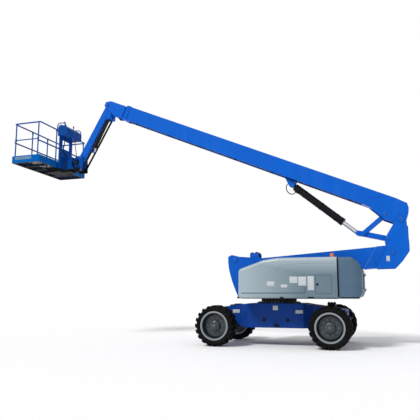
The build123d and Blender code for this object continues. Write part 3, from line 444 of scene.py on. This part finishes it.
def finish_of(name):
    """Finish of a solid by its name."""
    if name.endswith("_tyre"):
        return tyre_rubber
    if name.endswith("_rim"):
        place = name[:-4]
        return rim_paint("wheel_grey_" + place, *WHEELS[place])
    if name in ("secondary_rod", "lift_rod", "jib_rod"):
        return chrome
    if name in ("secondary_barrel", "lift_barrel", "jib_barrel", "jib_arms"):
        return ram_black
    if name in ("left_cover", "right_cover", "control_door"):
        return cover_grey
    if name.endswith(("_knuckle", "_tie_rod")) or name in ("engine_block", "slew_ring"):
        return dark_iron
    if name in ("chassis_frame", "front_axle", "rear_axle"):
        return shaded_muddy_blue
    own = {
        "counterweight": weight_grey,
        "turntable_frame": deck_blue,
        "platform_support": arm_blue,
        "platform_mount": arm_blue,
        "control_panel": trim_black,
        "beacon": amber,
        "platform_floor": grating,
        "platform_rails": rail_blue,
        "gate_bar": rail_blue,
        "control_box": box_blue,
    }
    return own.get(name, boom_blue)


for name, solid in nodes.items():
    solid.data.materials.clear()
    solid.data.materials.append(finish_of(name))
print("painted", len(nodes), "solids")

# %% [markdown]
# ## A fitter's tools
# New pieces are bmesh shapes: blocks with softened edges, rods, turned shapes that are an outline
# spun about an axis, and hex heads. Several shapes of one piece share a bmesh. When it is done,
# doubles are merged, the faces are turned outwards and sharp edges are kept by angle.

# %% Shape helpers


def block(work, low, high, soften=0.0, frame_axes=Matrix()):
    """Box between two corners, its edges rounded by soften."""
    low = Vector(low)
    high = Vector(high)
    spread = Matrix.LocRotScale((low + high) / 2, None, high - low)
    made = bmesh.ops.create_cube(work, size=1.0, matrix=frame_axes @ spread)
    if soften:
        edges = {edge for vert in made["verts"] for edge in vert.link_edges}
        round_edges(work, list(edges), soften)


def side_block(work, side, x, y, z, soften):
    """Box on one side of the machine, from pairs of millimetres at the slew axis."""
    low, high = sorted((side * y[0], side * y[1]))
    block(work, at(x[0], low, z[0]), at(x[1], high, z[1]), soften)


def round_edges(work, edges, size):
    """Round these edges in two steps."""
    bmesh.ops.bevel(
        work,
        geom=edges,
        offset=size,
        offset_type="OFFSET",
        affect="EDGES",
        segments=2,
        profile=0.5,
        material=-1,
    )


def rod(work, start, end, radius, sides=16, tip=None):
    """Round bar from start to end; tip is the radius at its end where it tapers."""
    start = Vector(start)
    line = Vector(end) - start
    turn = line.to_track_quat("Z", "Y").to_matrix().to_4x4()
    axes = Matrix.Translation(start + line / 2) @ turn
    far = radius if tip is None else tip
    bmesh.ops.create_cone(
        work, cap_ends=True, segments=sides, radius1=radius, radius2=far, depth=line.length, matrix=axes
    )


def turned(work, outline, centre, axis, steps=32, closed=False):
    """Outline of (radius, height) pairs, spun once about an axis."""
    axis = Vector(axis).normalized()
    out = axis.orthogonal().normalized()
    verts = [work.verts.new(centre + out * radius + axis * height) for radius, height in outline]
    edges = [work.edges.new(pair) for pair in zip(verts, verts[1:])]
    if closed:
        edges.append(work.edges.new((verts[-1], verts[0])))
    bmesh.ops.spin(
        work, geom=verts + edges, cent=centre, axis=axis, angle=2 * math.pi, steps=steps, use_merge=True
    )


def bolt(work, place, outward, size):
    """Hex head on its washer; size is the radius of the head."""
    place = Vector(place)
    outward = Vector(outward).normalized()
    rod(work, place - outward * 0.002, place + outward * size * 0.25, size * 1.35, 12)
    rod(work, place, place + outward * size * 1.1, size, 6)


def done(name, body, work, finish, sharp=35):
    """Close a bmesh into a piece that rides on a body."""
    bmesh.ops.remove_doubles(work, verts=work.verts, dist=0.00002)
    bmesh.ops.recalc_face_normals(work, faces=work.faces)
    for face in work.faces:
        face.smooth = True
    mesh = bpy.data.meshes.new(name)
    work.to_mesh(mesh)
    work.free()
    mesh.set_sharp_from_angle(angle=math.radians(sharp))
    mesh.materials.append(finish)
    piece = bpy.data.objects.new(name, mesh)
    scene.collection.objects.link(piece)
    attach(piece, body)
    return piece


def pipe(name, body, runs, radius, finish):
    """Clipped pipe or bead along one or more smooth runs of points."""
    line = bpy.data.curves.new(name, "CURVE")
    line.dimensions = "3D"
    line.bevel_depth = radius
    line.bevel_resolution = 2
    line.use_fill_caps = True
    for points in runs:
        spline = line.splines.new("NURBS")
        spline.points.add(len(points) - 1)
        for target, point in zip(spline.points, points):
            target.co = (*point, 1.0)
        spline.order_u = 3
        spline.use_endpoint_u = True
        spline.resolution_u = 6
    line.materials.append(finish)
    piece = bpy.data.objects.new(name, line)
    scene.collection.objects.link(piece)
    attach(piece, body)
    return piece


print("shape helpers ready")

# %% [markdown]
# ## Free hoses
# Three hoses hang free. One loops from the lift ram's port to the lug of the boom, and two drop
# from the platform's control box to its support arm. Each is a smooth curve of fixed length that
# leaves its port straight and then sags, and each end goes into the machine.

# %% Hoses


def hose(name, body, points, diameter):
    """Hanging hose through these places, from its port to its other end."""
    piece = pipe(name, body, [[at(*point) for point in points]], diameter / 2, hose_rubber)
    at(*points[0])
    return piece


LIFT_LOOP = [
    (-528, 70, 3903), (-508, 70, 3868), (-450, 70, 3815), (-340, 70, 3835),
    (-270, 70, 3930), (-262, 70, 4040), (-300, 70, 4105), (-346, 70, 4122),
]
LEFT_DROP = [
    (6430, 250, 5982), (6430, 250, 5900), (6428, 290, 5700), (6418, 350, 5500),
    (6404, 300, 5415), (6396, 200, 5362), (6390, 131, 5346),
]
RIGHT_DROP = [
    (6380, -210, 5982), (6380, -210, 5890), (6380, -260, 5700), (6384, -335, 5520),
    (6392, -290, 5420), (6396, -195, 5364), (6396, -131, 5346),
]
hose("lift_ram_hose", "lift_barrel", LIFT_LOOP, 0.024)
hose("platform_cable_left", "platform", LEFT_DROP, 0.026)
hose("platform_cable_right", "platform", RIGHT_DROP, 0.022)
print("three hanging hoses")

# %% [markdown]
# ## Tyres
# A rough-terrain tyre is a smooth carcass with deep bars that lean in a chevron and wrap over the
# shoulder. The frame's plain ring keeps the outer size, so the new carcass is smaller by the depth
# of the bars. The carcass is an outline spun about the axle, and a bar is bent round the axle too.

# %% Tyres
CARCASS = [
    (0.312, -0.176), (0.352, -0.178), (0.362, -0.196), (0.385, -0.208), (0.392, -0.213), (0.402, -0.209),
    (0.425, -0.205), (0.444, -0.190), (0.455, -0.150), (0.459, -0.070), (0.460, 0.0), (0.459, 0.070),
    (0.455, 0.150), (0.444, 0.190), (0.425, 0.205), (0.402, 0.209), (0.392, 0.213), (0.385, 0.208),
    (0.362, 0.196), (0.352, 0.178), (0.312, 0.176),
]
BARS = 20
BAR_TOP = 0.4876
BAR_LEAN = 0.42


def tread_bar(side):
    """Mesh of one bar from the middle of the tread to the shoulder, centred on the axle."""
    work = bmesh.new()
    low, high = sorted((0.012 * side, 0.186 * side))
    block(work, (-0.034, low, 0.445), (0.034, high, BAR_TOP), 0.006)
    low, high = sorted((0.165 * side, 0.2095 * side))
    block(work, (-0.036, low, 0.415), (0.036, high, 0.478), 0.010)
    for vert in work.verts:
        vert.co.rotate(Matrix.Rotation(-BAR_LEAN * abs(vert.co.y) / BAR_TOP, 3, "Y"))
    mesh = bpy.data.meshes.new("tread_bar")
    work.to_mesh(mesh)
    work.free()
    return mesh


bar_meshes = {1: tread_bar(1), -1: tread_bar(-1)}
for place, (end, side) in WHEELS.items():
    hub = at(end * AXLE_MM, side * TRACK_MM, HUB_MM)
    work = bmesh.new()
    turned(work, CARCASS, hub, (0, 1, 0), 80, closed=True)
    for step in range(2 * BARS):
        one = bar_meshes[1 if step % 2 else -1].copy()
        one.transform(Matrix.Translation(hub) @ Matrix.Rotation(math.pi * step / BARS, 4, "Y"))
        work.from_mesh(one)
        bpy.data.meshes.remove(one)
    tyre = done(place + "_tread", place + "_wheel", work, tyre_rubber, 40)
    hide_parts(place + "_tyre")
for mesh in bar_meshes.values():
    bpy.data.meshes.remove(mesh)
print("tyres", len(WHEELS), "with", 2 * BARS, "bars each")

# %% [markdown]
# ## Wheel nuts
# Ten nuts hold each dish to its hub, the planet gear's cover has a ring of small bolts, and a
# valve stem sticks out through the dish.

# %% Wheel nuts
NUTS = 10
NUT_CIRCLE = 0.185
DISH_FACE = 0.050
COVER_CIRCLE = 0.092
COVER_FACE = 0.145
for place, (end, side) in WHEELS.items():
    hub = at(end * AXLE_MM, side * TRACK_MM, HUB_MM)
    outward = Vector((0, side, 0))
    work = bmesh.new()
    for step in range(NUTS):
        turn = 2 * math.pi * step / NUTS
        spoke = Vector((math.cos(turn), 0, math.sin(turn)))
        stud = hub + spoke * NUT_CIRCLE + outward * DISH_FACE
        bolt(work, stud, outward, 0.017)
        rod(work, stud, stud + outward * 0.028, 0.009, 8)
        bolt(work, hub + spoke * COVER_CIRCLE + outward * COVER_FACE, outward, 0.008)
    turned(work, [(0, 0.192), (0.028, 0.190), (0.036, 0.182), (0.036, 0.176)], hub, outward, 20)
    valve = hub + Vector((0.235, 0, 0.05)) + outward * 0.045
    rod(work, valve, valve + outward * 0.045, 0.007, 8)
    done(place + "_nuts", place + "_wheel", work, dull_zinc)
print("nuts on", len(WHEELS), "wheels")

# %% [markdown]
# ## Chassis trim
# Blank plates, rubber plugs in the frame's tooling holes, a ring of slew bolts and a valve block
# sit on the chassis. Everything is laid on the face that carries it and stands a little proud.

# %% Chassis trim
SLEW_BOLTS = 36
SLEW_CIRCLE = 510
SLEW_TOP = 1045
FRAME_Y = 610
work = bmesh.new()
for step in range(SLEW_BOLTS):
    turn = 2 * math.pi * step / SLEW_BOLTS
    bolt(work, at(SLEW_CIRCLE * math.cos(turn), SLEW_CIRCLE * math.sin(turn), SLEW_TOP), (0, 0, 1), 0.014)
done("slew_bolts", "chassis", work, zinc)

PLATES = [
    ((-83, 44), (856, 966), FRAME_Y), ((-690, -510), (783, 862), FRAME_Y), ((925, 1105), (775, 860), 460),
]
PLUG = [(0, 0.012), (0.030, 0.010), (0.044, 0.002), (0.044, -0.003)]
plates = bmesh.new()
plugs = bmesh.new()
for side in SIDES:
    for x, z, y in PLATES:
        side_block(plates, side, x, (y - 2, y + 3), z, 0.0015)
    for x in (264, -320):
        turned(plugs, PLUG, at(x, side * FRAME_Y, 618), (0, side, 0), 24)
    side_block(plugs, side, (-95, 20), (606, 655), (462, 520), 0.008)
    for x in (-70, -10):
        rod(plugs, at(x, side * 655, 490), at(x, side * 672, 490), 0.016, 12)
done("chassis_plates", "chassis", plates, plate_white)
done("chassis_plugs", "chassis", plugs, trim_black)
work = bmesh.new()
for end in SIDES:
    for y in (-380, -190, 0, 190, 380):
        bolt(work, at(end * 1700, y, 815), (end, 0, 0), 0.016)
done("chassis_end_bolts", "chassis", work, shaded_muddy_blue)
work = bmesh.new()
block(work, at(-1450, 250, 905), at(-1255, 420, 1040), 0.010)
for x in (-1420, -1350, -1285):
    rod(work, at(x, 420, 985), at(x, 450, 985), 0.020, 12)
    rod(work, at(x, 330, 1040), at(x, 330, 1062), 0.022, 12)
done("chassis_manifold", "chassis", work, trim_black)
print("chassis trim made")

# %% [markdown]
# ## Cover mouldings
# The hoods are moulded. A crease runs under the shoulder and turns down, and a raised band runs
# low along the side, edged by a darker line that is painted shade in its groove. A rubber seal lines
# the bottom edge, two black latches hold the hood shut, and a row of blank plates sits beside the
# control door. The right hood has a louvre.

# %% Covers
COVER_Y = 1185
BLANKS = [
    ((-121, 61), (1437, 1542)), ((-423, -274), (1400, 1469)), ((-664, -480), (1502, 1652)),
    ((-869, -683), (1443, 1650)), ((-1045, -898), (1335, 1657)),
]
CREASE = [(-1535, 1962), (-900, 1960), (-380, 1955), (-210, 1905), (-165, 1780)]
STEP_UP = [(-835, 1268), (-838, 1330), (-838, 1412)]
LOW_LINE = [(690, 1268), (-300, 1268), (-835, 1268)]
for side_name, side in (("left", 1), ("right", -1)):
    body = side_name + "_cover"
    face = side * (COVER_Y - 2)
    crease, step_up, low_line = [[at(x, face, z) for x, z in run] for run in (CREASE, STEP_UP, LOW_LINE)]
    pipe(side_name + "_cover_crease", body, [crease], 0.009, cover_grey)
    # The step and low lines are a darker grey than the hood: painted shade in the grooves.
    pipe(side_name + "_cover_shade_line", body, [step_up, low_line], 0.009, weight_grey)
    work = bmesh.new()
    side_block(work, side, (-825, 690), (COVER_Y - 4, COVER_Y + 5), (1282, 1352), 0.004)
    done(side_name + "_cover_band", body, work, cover_grey)
    work = bmesh.new()
    side_block(work, side, (-1560, 700), (1140, 1170), (1143, 1153), 0.004)
    for x, half in ((-285, 45), (-960, 70)):
        side_block(work, side, (x - half, x + half), (1150, COVER_Y + 1), (1148, 1186), 0.008)
    done(side_name + "_cover_seal", body, work, trim_black)
    work = bmesh.new()
    for x, z in BLANKS:
        side_block(work, side, x, (COVER_Y - 1, COVER_Y + 3), z, 0.0015)
    done(side_name + "_cover_plates", body, work, plate_white)
work = bmesh.new()
for row in range(9):
    z = 1480 + 40 * row
    block(work, at(-1420, -1196, z), at(-1090, -1180, z + 22), 0.005)
done("right_cover_louvres", "right_cover", work, trim_black)
print("cover mouldings made")

# %% [markdown]
# ## Control door and panel
# The ground controls sit in a pan behind a small door. The door has a turn latch, and the pan
# shows three rows of push buttons, a blank display and a red stop button when the door is open.

# %% Door and panel
PAN_Y = 1055
LATCH = [(0, 0.010), (0.022, 0.009), (0.026, 0.004), (0.026, -0.001)]
BUTTON = [(0, 0.020), (0.012, 0.019), (0.014, 0.012), (0.020, 0.010), (0.020, -0.001)]
STOP = [(0, 0.042), (0.022, 0.041), (0.030, 0.034), (0.028, 0.022), (0.014, 0.020), (0.014, -0.001)]
work = bmesh.new()
turned(work, LATCH, at(-1120, COVER_Y - 2, 1470), (0, 1, 0), 20)
block(work, at(-1128, 1186, 1440), at(-1112, 1201, 1500), 0.005)
done("door_latch", "control_door", work, trim_black)
work = bmesh.new()
for row in range(3):
    for column in range(4):
        spot = at(-1390 + 60 * column, PAN_Y, 1340 + 70 * row)
        turned(work, BUTTON, spot, (0, 1, 0), 16)
block(work, at(-1395, PAN_Y - 1, 1570), at(-1235, PAN_Y + 8, 1650), 0.003)
done("panel_buttons", "left_cover", work, zinc)
work = bmesh.new()
turned(work, STOP, at(-1140, PAN_Y, 1600), (0, 1, 0), 24)
done("panel_stop", "left_cover", work, red_knob)
print("door and panel made")

# %% [markdown]
# ## Counterweight trim
# The cast counterweight has a shallow line round its flank, a rubber strip against the hoods and
# eight big bolts with a blank plate on its back.

# %% Counterweight


WEIGHT_Y = 1158
WEIGHT_ROUND = 260
ROUND_FROM = -1850
WEIGHT_BACK = -2110


def weight_half(x):
    """Half width of the counterweight at this place along the machine, in millimetres."""
    into = max(0.0, ROUND_FROM - x)
    return WEIGHT_Y - WEIGHT_ROUND + math.sqrt(WEIGHT_ROUND * WEIGHT_ROUND - into * into)


for side_name, side in (("left", 1), ("right", -1)):
    line = [at(x, side * weight_half(x), 1424) for x in (-1625, -1740, -1850, -1900, -1950, -2000)]
    line_up = [at(-1625, side * WEIGHT_Y, z) for z in (1424, 1700, 2005)]
    pipe(side_name + "_weight_line", "turntable", [line, line_up], 0.008, weight_grey)
HOOD_EDGE = [
    (WEIGHT_Y, 1186), (WEIGHT_Y, 1600), (WEIGHT_Y, 2000), (1155, 2038),
    (1137, 2065), (1108, 2084), (1060, 2089), (320, 2089),
]
seals = [[at(-1592, side * y, z) for y, z in HOOD_EDGE] for side in SIDES]
pipe("hood_seal", "turntable", seals, 0.014, trim_black)
work = bmesh.new()
for y in (-800, -560, 560, 800):
    for z in (1350, 1730):
        bolt(work, at(WEIGHT_BACK, y, z), (-1, 0, 0), 0.030)
done("weight_bolts", "turntable", work, zinc)
work = bmesh.new()
block(work, at(WEIGHT_BACK - 4, -180, 1302), at(WEIGHT_BACK + 2, 180, 1376), 0.0015)
done("weight_plate", "turntable", work, plate_white)
print("counterweight trim made")

# %% [markdown]
# ## Pin keepers
# Boom pins are held by a round keeper plate with two small bolts and a grease nipple. They ride
# on the body that owns the pin. The keepers are turned discs, softened at the edge.

# %% Pin keepers


def keepers(name, body, pins):
    """Keeper discs at both ends of pins given as (x, z, radius, half length)."""
    discs = bmesh.new()
    bolts = bmesh.new()
    for x, z, radius, half in pins:
        for side in SIDES:
            end = at(x, side * half, z)
            out = Vector((0, side, 0))
            reach = radius / 1000
            shape = [(0, 0.012), (reach * 0.8, 0.012), (reach, 0.008), (reach, -0.002)]
            turned(discs, shape, end, out, 28)
            for step in (-1, 1):
                bolt(bolts, end + out * 0.012 + Vector((0, 0, step * reach * 0.55)), out, 0.010)
            rod(bolts, end + out * 0.012, end + out * 0.026, 0.005, 8)
    done(name + "_keepers", body, discs, boom_blue)
    done(name + "_keeper_bolts", body, bolts, dull_zinc)


work = bmesh.new()
for side in SIDES:
    side_block(work, side, (-2742, -2664), (253, 258), (2025, 2150), 0.0015)
done("pivot_plates", "upper_pivot", work, plate_white)
keepers("turntable", "turntable", [(1080, 2130, 60, 265)])
UPPER_PINS = [(-2820, 2250, 62, 263), (-2710, 2588, 52, 263), (-3050, 3020, 68, 263)]
keepers("upper_pivot", "upper_pivot", UPPER_PINS)
keepers("primary_boom", "primary_boom", [(-2679, 3168, 48, 212)])
keepers("boom_head", "primary_extension", [(5050, 6850, 40, 188)])
keepers("jib_foot", "platform_mount", [(5930, 5300, 40, 149), (5900, 4930, 38, 149)])
print("pins kept")

# %% [markdown]
# ## Boom rest
# In transport the primary boom lies on a cradle at the front of the secondary boom: two pairs of
# black rubber rollers between bracket plates.

# %% Boom rest
ROLLER = [(0.012, -0.06), (0.050, -0.058), (0.056, -0.045), (0.056, 0.045), (0.050, 0.058), (0.012, 0.06)]
work = bmesh.new()
for x in (-0.545, -0.425):
    for side in SIDES:
        centre = SECONDARY @ Vector((x, side * 0.085, 0.105))
        turned(work, ROLLER, centre, (0, 1, 0), 24, closed=True)
done("rest_rollers", "secondary_boom", work, hose_rubber)
work = bmesh.new()
for side in SIDES:
    low, high = sorted((side * 0.150, side * 0.164))
    block(work, (-0.61, low, -0.02), (-0.37, high, 0.125), 0.006, SECONDARY)
done("rest_brackets", "secondary_boom", work, boom_blue)
print("boom rest made")

# %% [markdown]
# ## Pipes under the boom
# Two hydraulic pipes run along the underside of the primary boom, clear of the ram, in clamps
# about a metre apart. The collars of both booms have rows of bolts that adjust their wear pads,
# and a lighter, glossier blue bead down the slanted edge of the lower one is a painted highlight
# of the collar's edge.

# %% Boom pipes
PIPE_START = 1.0
PIPE_END = 8.05
runs = []
for y in (0.122, 0.152):
    runs.append([PRIMARY @ Vector((u, y, 0.029)) for u in (PIPE_START, 3.0, 6.0, PIPE_END)])
pipe("boom_pipes", "primary_boom", runs, 0.011, hose_rubber)
work = bmesh.new()
for step in range(7):
    u = PIPE_START + 0.3 + step * 1.08
    block(work, (u - 0.03, 0.105, 0.012), (u + 0.03, 0.169, 0.047), 0.005, PRIMARY)
done("boom_pipe_clamps", "primary_boom", work, trim_black)
work = bmesh.new()
for u in (8.19, 8.26):
    for side in SIDES:
        for n in (0.12, 0.21, 0.30, 0.39):
            bolt(work, PRIMARY @ Vector((u, side * 0.192, n)), (0, side, 0), 0.010)
    for y in (-0.12, -0.04, 0.04, 0.12):
        bolt(work, PRIMARY @ Vector((u, y, 0.470)), PRIMARY.to_3x3() @ Vector((0, 0, 1)), 0.010)
done("primary_collar_bolts", "primary_boom", work, boom_blue)
work = bmesh.new()
for u in (-3.56, -3.46):
    for side in SIDES:
        for n in (-0.40, -0.28, -0.16):
            bolt(work, SECONDARY @ Vector((u, side * 0.203, n)), (0, side, 0), 0.011)
done("secondary_collar_bolts", "secondary_boom", work, boom_blue)
# The bead is lighter and glossier than the boom: a painted highlight along the collar's edge.
SLANT = ((-3.540, -0.012), (-3.360, -0.272), (-3.180, -0.532))
bead = [[SECONDARY @ Vector((u, side * 0.203, n)) for u, n in SLANT] for side in SIDES]
pipe("secondary_collar_bead", "secondary_boom", bead, 0.007, highlight_bead_blue)
print("boom pipes and collar bolts made")

# %% [markdown]
# ## Lift ram
# The barrel carries a feed pipe along its flank, a valve block at its base and clamp bands. The
# gland at the rod end is a ring with a circle of cap screws.

# %% Lift ram
feed_run = [LIFT_RAM @ Vector((u, 0.108, 0.0)) for u in (0.26, 0.6, 1.1, 1.54)]
pipe("lift_ram_pipe", "lift_barrel", [feed_run], 0.011, trim_black)
BAND = [(0.094, -0.018), (0.101, -0.018), (0.101, 0.018), (0.094, 0.018)]
SCREWS = 8
SCREW_CIRCLE = 0.079
work = bmesh.new()
axis = LIFT_RAM.to_3x3() @ Vector((1, 0, 0))
for u in (0.42, 0.95, 1.42):
    turned(work, BAND, LIFT_RAM @ Vector((u, 0, 0)), axis, 40, closed=True)
    block(work, (u - 0.018, 0.092, -0.022), (u + 0.018, 0.124, 0.022), 0.004, LIFT_RAM)
block(work, (0.17, 0.040, 0.055), (0.27, 0.092, 0.110), 0.005, LIFT_RAM)
block(work, (0.20, 0.085, -0.030), (0.28, 0.130, 0.030), 0.005, LIFT_RAM)
done("lift_ram_bands", "lift_barrel", work, ram_black)
work = bmesh.new()
for step in range(SCREWS):
    turn = 2 * math.pi * step / SCREWS
    spot = Vector((1.640, SCREW_CIRCLE * math.cos(turn), SCREW_CIRCLE * math.sin(turn)))
    bolt(work, LIFT_RAM @ spot, axis, 0.008)
done("lift_ram_screws", "lift_barrel", work, zinc)
print("lift ram dressed")

# %% [markdown]
# ## Platform fittings
# Foot plates and collars hold the rail posts, apart from the collars of the side where the gate
# bar slides. Two toe boards carry a blank plate, a foot switch stands on the floor, and hoses loop
# round the valve blocks of the mount.

# %% Platform fittings
COLLAR = [(0.0188, -0.03), (0.025, -0.03), (0.025, 0.03), (0.0188, 0.03)]
GATE_Y = 1192
DECK_Z = 5063
POSTS = [(x, y) for x in (6648, 7512) for y in (-380, 380)]
POSTS += [(x, y) for x in (6697, 7463) for y in (-GATE_Y, GATE_Y)]
work = bmesh.new()
for x, y in POSTS:
    if y != GATE_Y:
        turned(work, COLLAR, at(x, y, 6130), (0, 0, 1), 16, closed=True)
    block(work, at(x - 21, y - 21, DECK_Z), at(x + 21, y + 21, DECK_Z + 12), 0.003)
done("rail_collars", "platform", work, rail_blue)
work = bmesh.new()
block(work, at(6880, 1219, 5085), at(7440, 1222, 5175), 0.001)
block(work, at(7539, -300, 5085), at(7542, 300, 5175), 0.001)
done("toe_plates", "platform", work, toe_grey)
work = bmesh.new()
block(work, at(6800, -140, DECK_Z), at(7000, 20, 5082), 0.006)
block(work, at(6815, -125, 5082), at(6985, 5, 5106), 0.012)
for y in (-150, 20):
    block(work, at(6800, y, DECK_Z), at(7000, y + 10, 5150), 0.004)
done("foot_switch", "platform", work, trim_black)
LOOPS = [
    [(5990, 140, 5200), (6020, 190, 5270), (6110, 200, 5280), (6200, 185, 5180), (6215, 120, 5090)],
    [(5985, 140, 5120), (6010, 185, 5200), (6090, 195, 5230), (6170, 185, 5120), (6200, 115, 5030)],
    [(5960, 140, 5050), (6000, 185, 5000), (6090, 190, 4990), (6160, 175, 5050), (6205, 110, 5140)],
]
loops = [[at(x, side * y, z) for x, y, z in loop] for side in SIDES for loop in LOOPS]
pipe("mount_hoses", "platform_mount", loops, 0.014, hose_rubber)
work = bmesh.new()
for side in SIDES:
    side_block(work, side, (6010, 6105), (140, 180), (5090, 5180), 0.006)
done("mount_valves", "platform_mount", work, trim_black)
print("platform fittings made")

# %% [markdown]
# ## Control box
# The operator's box has two levers in rubber boots, a red stop button and rows of switches on its
# top, guard bars at both ends, and a lip along its rear face.

# %% Control box
BOX_TOP = 6296
BOOT = [
    (0, 0.055), (0.012, 0.053), (0.020, 0.040), (0.026, 0.036),
    (0.034, 0.022), (0.040, 0.018), (0.052, 0.004), (0.052, -0.004),
]
KNOB = [(0, 0.045), (0.014, 0.042), (0.021, 0.030), (0.022, 0.012), (0.016, 0.0), (0, -0.002)]
BOX_STOP = [(0, 0.045), (0.024, 0.044), (0.032, 0.036), (0.030, 0.022), (0.015, 0.020), (0.015, -0.004)]
GUARD = [(6300, 6000), (6300, 6240), (6340, 6345), (6470, 6370), (6590, 6345), (6612, 6240), (6612, 6150)]
work = bmesh.new()
for y in (-240, 240):
    base = at(6465, y, BOX_TOP)
    turned(work, BOOT, base, (0, 0, 1), 24)
    rod(work, base + Vector((0, 0, 0.05)), base + Vector((0.01, 0, 0.13)), 0.011, 12, 0.014)
    turned(work, KNOB, base + Vector((0.01, 0, 0.12)), (0, 0, 1), 20)
for step in range(9):
    spot = at(6420 + 60 * (step % 2), -140 + 35 * step, BOX_TOP)
    block(work, spot + Vector((-0.012, -0.009, -0.004)), spot + Vector((0.012, 0.009, 0.010)), 0.002)
done("box_levers", "platform", work, trim_black)
work = bmesh.new()
turned(work, BOX_STOP, at(6530, 330, BOX_TOP), (0, 0, 1), 24)
done("box_stop", "platform", work, red_knob)
guards = [[at(x, y, z) for x, z in GUARD] for y in (-412, 412)]
pipe("box_guards", "platform", guards, 0.016, rail_blue)
work = bmesh.new()
block(work, at(6284, -404, 6150), at(6292, 404, 6168), 0.003)
block(work, at(6284, -300, 6030), at(6291, 300, 6120), 0.003)
done("box_lip", "platform", work, box_blue)
print("control box dressed")
